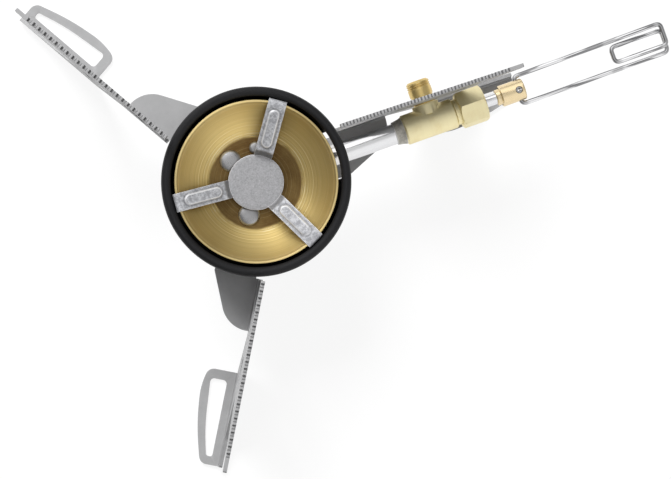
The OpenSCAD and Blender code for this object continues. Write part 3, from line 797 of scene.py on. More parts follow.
def spaced(path: Sequence[Pair], gap: float) -> list[Pair]:
    """Path with points added so that none are further apart than a gap.

    Args:
        path: Open path.
        gap: Largest distance between points.

    Returns:
        The fuller path.
    """
    points = [path[0]]
    for (x0, y0), (x1, y1) in zip(path, path[1:]):
        steps = max(1, math.ceil(math.hypot(x1 - x0, y1 - y0) / gap))
        points += [(x0 + (x1 - x0) * i / steps, y0 + (y1 - y0) * i / steps) for i in range(1, steps + 1)]
    return points


def holds(loop: Sequence[Pair], point: Vector) -> bool:
    """Whether a closed outline holds a point.

    Args:
        loop: The outline.
        point: The point.

    Returns:
        True inside.
    """
    inside = False
    for (x0, y0), (x1, y1) in zip(loop, [*loop[1:], loop[0]]):
        if (y0 > point.y) != (y1 > point.y) and point.x < x0 + (point.y - y0) * (x1 - x0) / (y1 - y0):
            inside = not inside
    return inside


def drum(radius: float, low: float, high: float) -> list[Pair]:
    """Profile of a plain cylinder."""
    return [(0.0, low), (radius, low), (radius, high), (0.0, high)]


def held(value: float) -> float:
    """Value held between 0 and 1."""
    return min(1.0, max(0.0, value))


def along_x(x: float, height: float) -> Matrix:
    """Frame whose Z runs along +X from a place on the fuel tube's axis."""
    return Matrix.Translation((x, 0.0, height)) @ Matrix.Rotation(math.pi / 2, 4, "Y")


class Form:
    """A mesh under construction, in millimetres in a frame of its own."""

    def __init__(self, name: str, place: Matrix | None = None) -> None:
        """Starts an empty mesh.

        Args:
            name: Name of the piece.
            place: Frame that the points are in.
        """
        self.name = name
        self.place = place or Matrix.Identity(4)
        self.bm = bmesh.new()

    def lathe(
        self,
        profile: Sequence[Pair],
        segments: int = 128,
        swell: Callable[[float, float, float], float] | None = None,
        start: float = 0.0,
        at: Matrix | None = None,
    ) -> "Form":
        """Turns a closed profile about Z.

        Args:
            profile: Points as radius and height.
            segments: Steps round the axis.
            swell: Gives what is added to the radius at a radius, height and angle.
            start: Angle of the first step, in degrees.
            at: Place of this turning in the form's own frame.

        Returns:
            This form.
        """
        spot = at or Matrix.Identity(4)
        rings = []
        for k in range(segments):
            angle = math.radians(start) + math.tau * k / segments
            grown = [r + (swell(r, h, angle) if swell else 0.0) for r, h in profile]
            rings.append([
                self.bm.verts.new(spot @ Vector((g * math.cos(angle), g * math.sin(angle), h)))
                for g, (_, h) in zip(grown, profile)
            ])
        count = len(profile)
        for k, ring in enumerate(rings):
            after = rings[(k + 1) % segments]
            for i in range(count):
                j = (i + 1) % count
                if profile[i][0] or profile[j][0]:
                    self.bm.faces.new((ring[i], after[i], after[j], ring[j]))
        return self

    def tube(self, path: Sequence[Vector], radius: float, sides: int) -> "Form":
        """Sweeps a round section along a path, with closed ends.

        Args:
            path: Points of the centre line.
            radius: Radius of the section.
            sides: Points round the section.

        Returns:
            This form.
        """
        last = len(path) - 1
        tangents = [(path[min(i + 1, last)] - path[max(i - 1, 0)]).normalized() for i in range(last + 1)]
        across = tangents[0].orthogonal().normalized()
        rings = []
        for i, point in enumerate(path):
            axis = tangents[max(i - 1, 0)].cross(tangents[i])
            if axis.length > 1e-7:
                across.rotate(Quaternion(axis, tangents[i - 1].angle(tangents[i])))
            up = tangents[i].cross(across)
            turns = [math.tau * k / sides for k in range(sides)]
            rings.append([
                self.bm.verts.new(point + radius * (math.cos(a) * across + math.sin(a) * up)) for a in turns
            ])
        for ring, after in zip(rings, rings[1:]):
            for k in range(sides):
                m = (k + 1) % sides
                self.bm.faces.new((ring[k], ring[m], after[m], after[k]))
        self.bm.faces.new(rings[0][::-1])
        self.bm.faces.new(rings[-1])
        return self

    def flat(self, loops: Sequence[Sequence[Pair]], lift: Callable[[float, float], Triple]) -> "Form":
        """Fills an outline with holes.

        Args:
            loops: Outline first, then the holes.
            lift: Gives the place in the frame of a point of the outline.

        Returns:
            This form.
        """
        points = [Vector(p) for loop in loops for p in loop]
        sides: list[tuple[int, int]] = []
        for loop in loops:
            first = len(sides)
            sides += [(first + i, first + (i + 1) % len(loop)) for i in range(len(loop))]
        made, _, triangles, *_ = delaunay_2d_cdt(points, sides, [], 1, 1e-6)
        corners = [self.bm.verts.new(lift(*p)) for p in made]
        for triangle in triangles:
            middle = sum((made[i] for i in triangle), Vector((0.0, 0.0))) / 3
            if not any(holds(loop, middle) for loop in loops[1:]):
                self.bm.faces.new([corners[i] for i in triangle])
        return self

    def strip(self, rows: Sequence[Sequence[Triple]]) -> "Form":
        """Joins rows of points with four-sided faces.

        Args:
            rows: Rows with the same number of points.

        Returns:
            This form.
        """
        made = [[self.bm.verts.new(p) for p in row] for row in rows]
        for row, after in zip(made, made[1:]):
            for i in range(len(row) - 1):
                self.bm.faces.new((row[i], row[i + 1], after[i + 1], after[i]))
        return self

    def prism(self, loop: Sequence[Pair], low: float, high: float) -> "Form":
        """Raises an outline between two heights.

        Args:
            loop: The outline.
            low: Height of the lower end.
            high: Height of the upper end.

        Returns:
            This form.
        """
        ring = [*loop, loop[0]]
        self.strip([[(x, y, z) for x, y in ring] for z in (low, high)])
        self.flat([loop], lambda x, y: (x, y, low))
        return self.flat([loop], lambda x, y: (x, y, high))

    def object(self, sharp: float = SHARP) -> bpy.types.Object:
        """Ends the mesh and makes its object.

        Args:
            sharp: Angle in degrees above which an edge is shaded sharp.

        Returns:
            The object, in metres in the shared frame.
        """
        bmesh.ops.remove_doubles(self.bm, verts=self.bm.verts, dist=1e-4)
        bmesh.ops.dissolve_degenerate(self.bm, edges=self.bm.edges, dist=1e-5)
        bmesh.ops.recalc_face_normals(self.bm, faces=self.bm.faces)
        self.bm.transform(Matrix.Scale(MM, 4) @ self.place)
        mesh = bpy.data.meshes.new(self.name)
        self.bm.to_mesh(mesh)
        self.bm.free()
        return self.shown(mesh, sharp)

    def shown(self, mesh: bpy.types.Mesh, sharp: float) -> bpy.types.Object:
        """Makes the object of a finished mesh, shaded smooth between its sharp edges.

        Args:
            mesh: The mesh.
            sharp: Angle in degrees above which an edge is shaded sharp.

        Returns:
            The object.
        """
        for face in mesh.polygons:
            face.use_smooth = True
        mesh.set_sharp_from_angle(angle=math.radians(sharp))
        made = bpy.data.objects.new(self.name, mesh)
        bpy.context.scene.collection.objects.link(made)
        return made

    def cut(self, tools: Sequence["Form"], operation: str = "DIFFERENCE") -> bpy.types.Object:
        """Cuts or joins other forms and makes the object.

        Args:
            tools: Forms to cut with or to join.
            operation: Boolean operation.

        Returns:
            The object.
        """
        base = self.object()
        others = [tool.object() for tool in tools]
        for other in others:
            step = base.modifiers.new("cut", "BOOLEAN")
            step.operation, step.solver, step.object = operation, "EXACT", other
        graph = bpy.context.evaluated_depsgraph_get()
        mesh = bpy.data.meshes.new_from_object(base.evaluated_get(graph))
        for gone in (base, *others):
            bpy.data.objects.remove(gone)
        mesh.name = self.name
        return self.shown(mesh, SHARP)


def soften(piece: bpy.types.Object, width: float, sheet: float = 0.0) -> bpy.types.Object:
    """Gives a piece its sheet thickness and small rounded edges.

    Args:
        piece: The piece.
        width: Width of the rounding, in millimetres.
        sheet: Thickness of the sheet, where the mesh is its middle surface.

    Returns:
        The piece.
    """
    if sheet:
        solid = piece.modifiers.new("sheet", "SOLIDIFY")
        solid.thickness, solid.offset, solid.use_even_offset = sheet * MM, 0.0, True
    bevel = piece.modifiers.new("edges", "BEVEL")
    bevel.width, bevel.segments, bevel.limit_method = width * MM, 2, "ANGLE"
    bevel.angle_limit = math.radians(BEVEL_FROM)
    piece.modifiers.new("normals", "WEIGHTED_NORMAL")
    return piece


# Sub-assemblies


@dataclass
class Assembly:
    """Pieces that move with one body and take their finishes from one palette."""

    palette: Palette
    body: Body = field(default=Body.BASE, kw_only=True)

    def add(self, piece: bpy.types.Object, slot: Slot, node: str) -> None:
        """Dresses a piece and fixes it to its body in place of a CAD node.

        Args:
            piece: The piece.
            slot: Its material slot.
            node: CAD node that it stands for.
        """
        piece.data.materials.clear()
        piece.data.materials.append(self.palette.finish(slot, node))
        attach(piece, self.body.value)
        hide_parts(node)
        LOG.info("%s stands for %s on %s", piece.name, node, self.body.value)


@dataclass
class Leg(Assembly):
    """A bent-sheet leg: serrated pot rest, neck, fin under the burner and slotted foot."""

    name: str
    node: str
    angle: float
    holes: tuple[Triple, ...]
    height: float = 58.0
    sheet: float = 1.25
    bend: float = 0.8
    web: float = 8.3
    rest_in: float = 31.2
    rest_tip: float = 93.8
    rest_smooth: float = 4.8
    rest_bar: float = 5.4
    teeth: int = 25
    tooth_depth: float = 0.9
    tooth_flank: float = 0.22
    tooth_land: float = 0.28
    web_in: float = 31.2
    fin_z: float = 22.7
    fin_tip: float = 49.2
    fin_tip_r: float = 10.0
    fin_lug: Pair = (10.9, 6.0)
    fin_reach: float = 7.5
    fin_taper: float = 3.0
    foot_in: float = 65.2
    foot_out: float = 98.4
    foot_mid: Pair = (85.4, -2.675)
    foot_curve: float = 80.0
    foot_side: float = -4.075
    foot_toe: float = 0.925
    foot_rim: float = 2.9
    slot_side: float = 4.775
    window: Triple = (62.7, 30.2, 5.1)
    edge: float = 0.14
    throat: Triple = (52.8, 46.0, 2.0)
    hollow: Triple = (41.7, 35.15, 4.0)
    neck: Pair = (30.95, 2.0)
    heel: Triple = (87.6, 7.0, 4.0)
    waist: Triple = (70.6, 26.95, 2.0)
    rest_slope: float = 0.6
    toe_lip: float = 4.0
    run_out: float = 1.4
    tip_r: float = 1.2
    end_r: float = 0.6
    lug_turn: Pair = (100.0, 262.0)
    foot_heel: Triple = (7.0, 1.6, 24.0)
    foot_r: float = 3.0
    slot_start: float = 0.4
    slot_rise: float = 1.2
    slot_r: Pair = (1.4, 0.8)

    @property
    def fold(self) -> float:
        """Height that a bend takes up."""
        return self.bend + self.sheet

    @property
    def plate(self) -> float:
        """Distance from the radial line at which the plates start to bend."""
        return self.web - self.sheet / 2 - self.bend

    def tooth_line(self) -> list[Pair]:
        """Points along the serrated top of the pot rest, from its tip inwards.

        Returns:
            The points, along the leg and up.
        """
        start = self.rest_tip - self.rest_smooth
        pitch = (start - self.rest_in) / self.teeth
        low = self.height - self.tooth_depth
        points: list[Pair] = []
        for i in range(self.teeth):
            s = start - i * pitch
            root = s - self.tooth_flank * pitch
            points += [(s, self.height)] if i else []
            points += [(root, low), (root - self.tooth_land * pitch, low)]
            points += [(root - (self.tooth_land + self.tooth_flank) * pitch, self.height)]
        return points

    def web_outline(self) -> list[Pair]:
        """Outline of the upright web, along the leg and up.

        Returns:
            The points.
        """
        low, fin = self.height - self.rest_bar, self.fin_z + self.fold
        corners = [
            (self.rest_in, self.height, 0.0), (self.rest_in, low, self.tip_r), self.throat, self.hollow,
            (self.web_in, *self.neck), (self.web_in, fin, 0.0), (self.fin_tip, fin, 0.0),
            (self.fin_tip + self.run_out, fin, self.end_r),
            (self.foot_in - self.run_out, self.fold, self.end_r),
            (self.foot_in, self.fold, 0.0), (self.foot_out, self.fold, 0.0),
            (self.foot_out, self.toe_lip, self.tip_r), self.heel, self.waist,
            (self.rest_tip, low + self.rest_slope, self.tip_r), (self.rest_tip, self.height, self.end_r),
            (self.rest_tip - self.rest_smooth, self.height, 0.0),
        ]
        return rounded(corners) + self.tooth_line()

    def fin_outline(self) -> list[Pair]:
        """Outline of the fin, along the leg and across it.

        Returns:
            The points.
        """
        place, lug = self.fin_lug
        tip = (self.fin_tip - self.fin_tip_r, self.plate)
        return (
            [(place, lug)] + arc((place, 0.0), lug, *self.lug_turn, 24)
            + [(self.web_in, -self.fin_reach)] + arc(tip, self.fin_tip_r, -67, 0, 24)
            + [(self.web_in, self.plate), (self.web_in - self.fin_taper, self.plate)]
        )

    def foot_outline(self) -> list[Pair]:
        """Outline of the foot.

        Returns:
            The points, along the leg and across it.
        """
        along, across, curve = self.foot_heel
        return rounded([
            (self.foot_in, self.plate, 0.0), (self.foot_in, self.foot_side + across, self.foot_r),
            (self.foot_in + along, self.foot_side, curve), (*self.foot_mid, self.foot_curve),
            (self.foot_out, self.foot_toe, self.foot_r), (self.foot_out, self.plate, 0.0),
        ], 10)

    def slot_outline(self) -> list[Pair]:
        """Outline of the slot in the foot.

        Returns:
            The points, along the leg and across it.
        """
        near, far = self.foot_in + self.foot_rim + self.slot_start, self.foot_out - self.foot_rim
        near_r, far_r = self.slot_r
        return rounded([
            (near, self.slot_side, near_r), (near, self.foot_side + self.foot_rim, near_r),
            (self.foot_mid[0], self.foot_mid[1] + self.foot_rim, self.foot_curve),
            (far, self.foot_toe + self.foot_rim - self.slot_rise, far_r), (far, self.slot_side, far_r),
        ], 10)

    def bend_rows(self, start: float, end: float, low: float) -> list[list[Triple]]:
        """Rows of the bend between a plate and the web.

        Args:
            start: Inner end along the leg.
            end: Outer end along the leg.
            low: Height of the plate's underside.

        Returns:
            Rows of two points.
        """
        middle = self.bend + self.sheet / 2
        curve = arc((self.plate, low + self.fold), middle, -90, 0, 8)
        return [[(start, o, z), (end, o, z)] for o, z in curve]

    def build(self) -> None:
        """Makes the leg."""
        form = Form(self.name, Matrix.Rotation(math.radians(self.angle), 4, "Z"))
        s, z, r = self.window
        half = self.sheet / 2
        holes = [arc((a, b), c, 0, 350, 35) for a, b, c in self.holes]
        form.flat([self.web_outline(), arc((s, z), r, 0, 354, 59)], lambda x, y: (x, self.web, y))
        form.flat([self.fin_outline(), *holes], lambda x, y: (x, y, self.fin_z + half))
        form.flat([self.foot_outline(), self.slot_outline()], lambda x, y: (x, y, half))
        form.strip(self.bend_rows(self.web_in, self.fin_tip, self.fin_z))
        form.strip(self.bend_rows(self.foot_in, self.foot_out, 0.0))
        piece = soften(form.object(sharp=50), self.edge, self.sheet)
        self.add(piece, Slot.LEG_STEEL, self.node)


@dataclass
class Burner(Assembly):
    """Black wind cup and turned brass bowl."""

    cup_z: float = 36.15
    cup_r: float = 29.0
    cup_t: float = 0.8
    cup_foot: float = 2.4
    cup_hole: float = 7.3
    roll: Triple = (29.4, 48.4, 1.6)
    notch: Triple = (21.0, 16.2, 46.2)
    bowl_hole: float = 4.94
    bowl_floor: float = 38.35
    bowl_floor_r: float = 15.0
    bowl_rim: Pair = (26.7, 49.05)
    bowl_curve: float = 24.0
    bowl_wall: float = 0.9
    groove: float = 0.5
    lip: float = 0.7
    band: float = 1.3
    ring_depth: float = 0.02
    scored: float = 5.2
    score_depth: float = 0.035
    score_fade: float = 1.5
    waves: tuple[Triple, ...] = ((1.0, 7.3, 0.0), (0.7, 11.9, 1.1), (0.5, 17.3, 0.0))
    band_step: float = 0.12
    floor_marks: float = 0.6
    floor_gap: float = 0.1
    floor_rings: int = 101
    wall_steps: int = 150
    notch_reach: float = 20.0
    edge: float = 0.12

    def cup(self) -> None:
        """Makes the wind cup with its rolled rim and its notch over the fuel tube."""
        centre_r, centre_z, roll = self.roll
        inside, floor = self.cup_r - self.cup_t, self.cup_z + self.cup_t
        foot = (self.cup_r - self.cup_foot, self.cup_z + self.cup_foot)
        outer = math.degrees(math.acos((self.cup_r - centre_r) / roll))
        inner = math.degrees(math.acos((inside - centre_r) / roll))
        profile = (
            [(self.cup_hole, self.cup_z)] + arc(foot, self.cup_foot, -90, 0, 8)
            + arc((centre_r, centre_z), roll, -outer, 360 - inner, 40)
            + arc(foot, self.cup_foot - self.cup_t, 0, -90, 8) + [(self.cup_hole, floor)]
        )
        near, width, top = self.notch
        low, far, side = self.cup_z - CLEAR, near + self.notch_reach, width / 2
        gap = Form("notch").prism([(near, -side), (far, -side), (far, side), (near, side)], low, top)
        piece = soften(Form("cup_shell").lathe(profile, 192).cut([gap]), self.edge)
        self.add(piece, Slot.BLACK_ENAMEL, "wind_cup")

    @staticmethod
    def wall_arc(radius: float, start: Pair, end: Pair, centre: Pair, steps: int) -> list[Pair]:
        """Points along the wall between two points.

        Args:
            radius: Radius of the wall's curve.
            start: Point that gives the first angle.
            end: Point that gives the last angle.
            centre: Centre of the curve.
            steps: Number of steps.

        Returns:
            The points.
        """
        first = math.degrees(math.atan2(start[1] - centre[1], start[0] - centre[0]))
        last = math.degrees(math.atan2(end[1] - centre[1], end[0] - centre[0]))
        return arc(centre, radius, first, last, steps)

    def tool_mark(self, radius: float) -> float:
        """Depth of the tool's rings, as a sum of uneven waves.

        Args:
            radius: Distance from the axis.

        Returns:
            The depth, greater low on the wall.
        """
        wave = sum(height * math.sin(radius * pace + shift) for height, pace, shift in self.waves)
        low = held((self.bowl_floor_r + self.scored - radius) / self.score_fade)
        return (self.ring_depth + self.score_depth * low) * wave / sum(height for height, *_ in self.waves)

    def bowl(self) -> None:
        """Makes the bowl with its stepped rim, turned wall and grooved floor."""
        rim_r, rim_z = self.bowl_rim
        under = self.cup_z + self.cup_t
        foot = Vector((self.bowl_floor_r + self.groove, self.bowl_floor + self.groove))
        edge = Vector((rim_r - self.lip, rim_z))
        lip = (rim_r, rim_z - self.lip)
        chord = edge - foot
        side = Vector((-chord.y, chord.x)).normalized()
        away = math.sqrt(self.bowl_curve ** 2 - chord.length_squared / 4)
        centre = tuple((foot + edge) / 2 + side * away)
        outer_r = self.bowl_curve + self.bowl_wall
        low = math.asin((under + self.groove - centre[1]) / outer_r)
        start = (centre[0] + outer_r * math.cos(low), centre[1] + outer_r * math.sin(low))
        outside = self.wall_arc(outer_r, start, lip, centre, 24)
        wall = self.wall_arc(self.bowl_curve, tuple(edge), tuple(foot), centre, self.wall_steps)
        step = [
            (r, z - self.tool_mark(r) + (0.0 if r > rim_r - self.band else self.band_step))
            for r, z in wall[1:-1]
        ]
        deep = self.bowl_floor - self.groove / 2
        floor = [
            (r, self.bowl_floor + self.tool_mark(r) * self.floor_marks)
            for r in (self.bowl_floor_r - self.floor_gap * i for i in range(self.floor_rings))
        ]
        profile = (
            [(self.bowl_hole, under), (foot.x, under)] + outside
            + rounded([(*lip, 0.0), (rim_r, rim_z, 0.25), (*edge, 0.2), (*wall[3], 0.0)], 4, False)[:-1]
            + step[3:] + [tuple(foot), (foot.x, deep), (self.bowl_floor_r, deep)] + floor
            + [(self.bowl_hole, self.bowl_floor)]
        )
        piece = Form("brass_bowl").lathe(profile, 192).object(sharp=60)
        self.add(piece, Slot.BURNER_BRASS, "burner_bowl")


@dataclass
class FlameSpreader(Assembly):
    """Stamped disc with three ribbed arms that hook over the bowl's rim."""

    disc_r: float = 9.1
    disc_z: float = 41.75
    sheet: float = 0.8
    arm_w: float = 6.0
    first_arm: float = 55.6
    riser: Pair = (10.3, 44.95)
    seat: Pair = (25.3, 49.55)
    tab_x: float = 27.1
    tab_end: float = 47.8
    rib: Triple = (12.4, 3.1, 0.5)
    rib_edge: float = 0.55
    columns: int = 36
    row_gap: float = 0.2
    root: float = 0.05
    dish: float = 0.12
    dish_from: float = 0.88
    rings: tuple[float, ...] = (0.0, 0.2, 0.4, 0.6, 0.75, 0.88, 0.95, 1.0)
    gap_steps: int = 30
    edge: float = 0.12

    @property
    def arm_turns(self) -> list[float]:
        """Angles of the three arms, in degrees."""
        return [self.first_arm + 120 * arm for arm in range(3)]

    def path(self) -> list[Pair]:
        """Middle line of an arm, from the disc's edge to the end of its tab.

        Returns:
            The points, outwards and up.
        """
        corners = [
            (self.disc_r, self.disc_z, 0.0), (self.disc_r + self.root, self.disc_z + self.root, 0.0),
            (*self.riser, 0.9), (*self.seat, 3.0), (self.tab_x, self.seat[1], 0.55),
            (self.tab_x, self.tab_end, 0.0),
        ]
        return spaced(rounded(corners, 6, False), self.row_gap)

    def rib_height(self, along: float, across: float) -> float:
        """Height of the pressed rib.

        Args:
            along: Distance from the rib's middle along the arm.
            across: Distance from the arm's middle line.

        Returns:
            The height above the arm.
        """
        length, width, height = self.rib
        past = max(abs(along) - (length - width) / 2, 0.0)
        share = held((width / 2 + self.rib_edge / 2 - math.hypot(past, across)) / self.rib_edge)
        return height * share * share * (3 - 2 * share)

    def arm_rows(self, turn: float) -> list[list[Triple]]:
        """Rows of points along one arm.

        Args:
            turn: Angle of the arm, in degrees.

        Returns:
            Rows from the disc outwards.
        """
        (x0, z0), (x1, z1) = self.riser, self.seat
        slope = math.atan2(z1 - z0, x1 - x0)
        middle = (x0 + x1) / 2
        spin = Matrix.Rotation(math.radians(turn), 3, "Z")
        rows = []
        for x, z in self.path():
            row = []
            for k in range(self.columns + 1):
                v = self.arm_w * (k / self.columns - 0.5)
                root = math.sqrt(self.disc_r ** 2 - v * v)
                share = held((x - self.disc_r) / (x0 - self.disc_r))
                u = x + (root - self.disc_r) * (1 - share)
                lift = self.rib_height((x - middle) / math.cos(slope), v) if x < x1 else 0.0
                point = Vector((u - lift * math.sin(slope), v, z + lift * math.cos(slope)))
                row.append(tuple(spin @ point))
            rows.append(row)
        return rows

    def disc_rows(self) -> list[list[Triple]]:
        """Rings of the disc, whose edge shares the points of the arms' roots.

        Returns:
            Rows from the middle outwards.
        """
        half = math.degrees(math.asin(self.arm_w / 2 / self.disc_r))
        turns: list[float] = []
        for middle in self.arm_turns:
            for k in range(self.columns + 1):
                v = self.arm_w * (k / self.columns - 0.5)
                turns.append(middle + math.degrees(math.asin(v / self.disc_r)))
            gap = 120 - 2 * half
            turns += [middle + half + gap * i / self.gap_steps for i in range(1, self.gap_steps)]
        turns.append(turns[0] + 360)
        rows = []
        for share in self.rings:
            sag = self.dish * max(0.0, (share - self.dish_from) / (1 - self.dish_from)) ** 2
            r, z = self.disc_r * share, self.disc_z + self.dish - sag
            rows.append([(r * math.cos(a), r * math.sin(a), z) for a in map(math.radians, turns)])
        return rows

    def build(self) -> None:
        """Makes the spreader."""
        form = Form("stamped_spreader")
        form.strip(self.disc_rows())
        for turn in self.arm_turns:
            form.strip(self.arm_rows(turn))
        piece = soften(form.object(sharp=60), self.edge, self.sheet)
        self.add(piece, Slot.SPREADER_STEEL, "flame_spreader")


@dataclass
class Fixings(Assembly):
    """Rivets that the swing legs turn on, and the bowl's screw."""

    turns: Pair = (120.0, 239.0)
    place: float = 10.9
    shank: float = 2.0
    low: float = 22.0
    floor: float = 38.35
    head: Pair = (3.6, 1.5)
    lower: Pair = (3.4, 1.0)
    head_side: float = 0.3
    head_flat: float = 0.62
    screw_turn: float = 71.4
    screw_place: float = 11.5
    screw_r: float = 1.5
    screw_end: float = 26.25
    screw_lead: float = 0.3
    screw_head: Pair = (2.05, 1.1)

    @staticmethod
    def at(turn: float, place: float) -> Matrix:
        """Frame on a radius of the burner."""
        return Matrix.Rotation(math.radians(turn), 4, "Z") @ Matrix.Translation((place, 0.0, 0.0))

    def dome(self, radius: float, height: float, low: float) -> list[Pair]:
        """Profile of a domed head from its edge to its top.

        Args:
            radius: Radius of the head.
            height: Height of the head.
            low: Height of the head's underside.

        Returns:
            The points.
        """
        side = height * self.head_side
        return [(radius, low), (radius, low + side)] + [
            (radius * math.cos(a) ** self.head_flat, low + side + (height - side) * math.sin(a))
            for a in (math.radians(90 * i / 16) for i in range(1, 16))
        ] + [(0.0, low + height)]

    def rivets(self) -> None:
        """Makes the two pivot rivets."""
        foot_r, foot_h = self.lower
        profile = rounded([
            (0.0, self.low - foot_h, 0.0), (foot_r, self.low - foot_h, 0.5), (foot_r, self.low, 0.15),
            (self.shank, self.low, 0.0), (self.shank, self.floor, 0.0),
        ]) + self.dome(*self.head, self.floor)
        form = Form("pivot_rivets")
        for turn in self.turns:
            form.lathe(profile, 64, at=self.at(turn, self.place))
        self.add(form.object(), Slot.RIVET_STEEL, "leg_rivets")

    def screw(self) -> None:
        """Makes the bowl's round-headed screw."""
        profile = [
            (0.0, self.screw_end), (self.screw_r - self.screw_lead, self.screw_end),
            (self.screw_r, self.screw_end + self.screw_lead), (self.screw_r, self.floor),
        ] + self.dome(*self.screw_head, self.floor)
        form = Form("bowl_screw_head", self.at(self.screw_turn, self.screw_place)).lathe(profile, 48)
        self.add(form.object(), Slot.RIVET_STEEL, "bowl_screw")


@dataclass
class Valve(Assembly):
    """Fuel tube, brazed ferrule, valve body, packing nut and threaded inlet."""

    axis_z: float = 30.2
    tube: tuple[float, float, float, float] = (4.0, 56.5, 3.55, 2.4)
    body_x: float = 53.0
    body_l: float = 18.3
    body_r: float = 5.1
    chamfer: float = 0.5
    edge: float = 0.08
    ferrule_l: float = 3.2
    ferrule_wall: float = 0.4
    solder_run: float = 0.04
    neck_r: float = 4.4
    neck_lead: float = 0.3
    neck_end: float = 79.5
    bore: float = 2.06
    nut_x: float = 72.7
    nut_l: float = 9.2
    nut_af: float = 11.4
    nut_turn: float = -9.0
    nut_relief: float = 0.1
    nut_hole: Pair = (0.25, 1.2)
    nut_edge: float = 0.1
    inlet_x: float = 62.7
    inlet_boss: Pair = (4.6, 6.2)
    inlet_r: float = 4.0
    inlet_root: Pair = (3.75, 9.225)
    inlet_reach: float = 14.4
    inlet_bore: float = 1.6
    inlet_stub: Pair = (3.0, 2.8)
    pitch: float = 0.75
    thread_depth: float = 0.24
    thread_from: float = 11.5
    thread_end: float = 0.75
    thread_form: Pair = (1.35, 3.6)
    thread_fade: float = 0.3
    boss_from: float = 2.5
    inlet_lead: float = 0.7
    bore_lead: float = 0.4
    inlet_steps: int = 80

    def fuel_tube(self) -> None:
        """Makes the polished tube."""
        start, end, outer, inner = self.tube
        profile = rounded([
            (inner, start, 0.1), (outer, start, 0.3), (outer, end, 0.3), (inner, end, 0.1)
        ], 4)
        piece = Form("steel_tube", along_x(0.0, self.axis_z)).lathe(profile, 72).object()
        self.add(piece, Slot.TUBE_CHROME, "fuel_tube")

    def ferrule(self) -> None:
        """Makes the brazed ferrule, with a hollow flare and an uneven edge of solder."""
        length, large = self.ferrule_l, self.body_r - self.chamfer
        small = self.tube[2] + self.ferrule_wall
        flare = [
            (small + (large - small) * (0.3 * t + 0.7 * t * t), -length * (1 - t))
            for t in (i / 16 for i in range(17))
        ]
        inner = self.tube[2] + SNUG
        profile = [(inner, -length)] + flare + [(inner, 0.0)]

        def solder(radius: float, height: float, angle: float) -> float:
            """Uneven run of the solder."""
            if radius <= inner:
                return 0.0
            wave = math.sin(3 * angle + height) + 0.6 * math.sin(7 * angle - 2.1 * height)
            return self.solder_run * wave * min(1.0, -height / length * 2)

        form = Form("brazed_ferrule", along_x(self.body_x, self.axis_z)).lathe(profile, 96, solder)
        self.add(form.object(), Slot.FERRULE_STEEL, "tube_ferrule")

    def barrel(self) -> None:
        """Makes the valve body with its neck and inlet boss."""
        r, length, c = self.body_r, self.body_l, self.chamfer
        neck = self.neck_end - self.body_x
        profile = rounded([
            (self.bore, 0.0, 0.0), (r - c, 0.0, 0.2), (r, c, 0.3), (r, length - c, 0.3),
            (r - c, length, 0.2), (self.neck_r, length, 0.0), (self.neck_r, neck - self.neck_lead, 0.0),
            (self.neck_r - self.neck_lead, neck, 0.0), (self.bore, neck, 0.0),
        ], 4)
        form = Form("brass_valve", along_x(self.body_x, self.axis_z)).lathe(profile, 128)
        boss_r, seat = self.inlet_boss
        root = self.boss_from
        boss = Form("boss", self.inlet_frame()).lathe(rounded([
            (0.0, root, 0.0), (boss_r, root, 0.0), (boss_r, seat, 0.35), (0.0, seat, 0.0)
        ], 4), 80)
        piece = soften(form.cut([boss], "UNION"), self.edge)
        self.add(piece, Slot.VALVE_BRASS, "valve_body")

    def inlet_frame(self) -> Matrix:
        """Frame whose Z runs along the inlet, +Y."""
        place = Matrix.Translation((self.inlet_x, 0.0, self.axis_z))
        return place @ Matrix.Rotation(-math.pi / 2, 4, "X")

    def thread(self, radius: float, height: float, angle: float) -> float:
        """Depth of the inlet's thread, as a change of radius.

        Args:
            radius: Radius of the blank.
            height: Height along the inlet.
            angle: Angle round the inlet.

        Returns:
            The change of radius, 0 off the thread.
        """
        if radius < self.inlet_r - 0.01:
            return 0.0
        start, end = self.thread_from, self.inlet_reach - self.thread_end
        turn = (height / self.pitch - angle / math.tau) % 1.0
        flat, flank = self.thread_form
        groove = held(flat - flank * abs(turn - 0.5))
        fade = held((height - start) / self.thread_fade) * held((end - height) / self.thread_fade)
        return -self.thread_depth * groove * fade

    def inlet(self) -> None:
        """Makes the inlet nipple with its cut thread."""
        stub_r, stub_l = self.inlet_stub
        seat = self.inlet_boss[1]
        root_r, root_y = self.inlet_root
        top, bore, steps = self.inlet_reach, self.inlet_bore, self.inlet_steps
        span = top - self.inlet_lead - root_y
        blank = [(self.inlet_r, root_y + span * i / steps) for i in range(steps + 1)]
        mouth = [
            (*blank[-1], 0.0), (self.inlet_r - self.inlet_lead, top, 0.2), (bore + self.bore_lead, top, 0.0)
        ]
        profile = (
            [(bore, seat - stub_l), (stub_r, seat - stub_l), (stub_r, seat)]
            + [(root_r, seat), (root_r, root_y)] + blank + rounded(mouth, 4, False)[1:]
            + [(bore, top - self.bore_lead)]
        )
        form = Form("threaded_inlet", self.inlet_frame()).lathe(profile, 96, self.thread)
        self.add(form.object(sharp=30), Slot.VALVE_BRASS, "fuel_inlet")

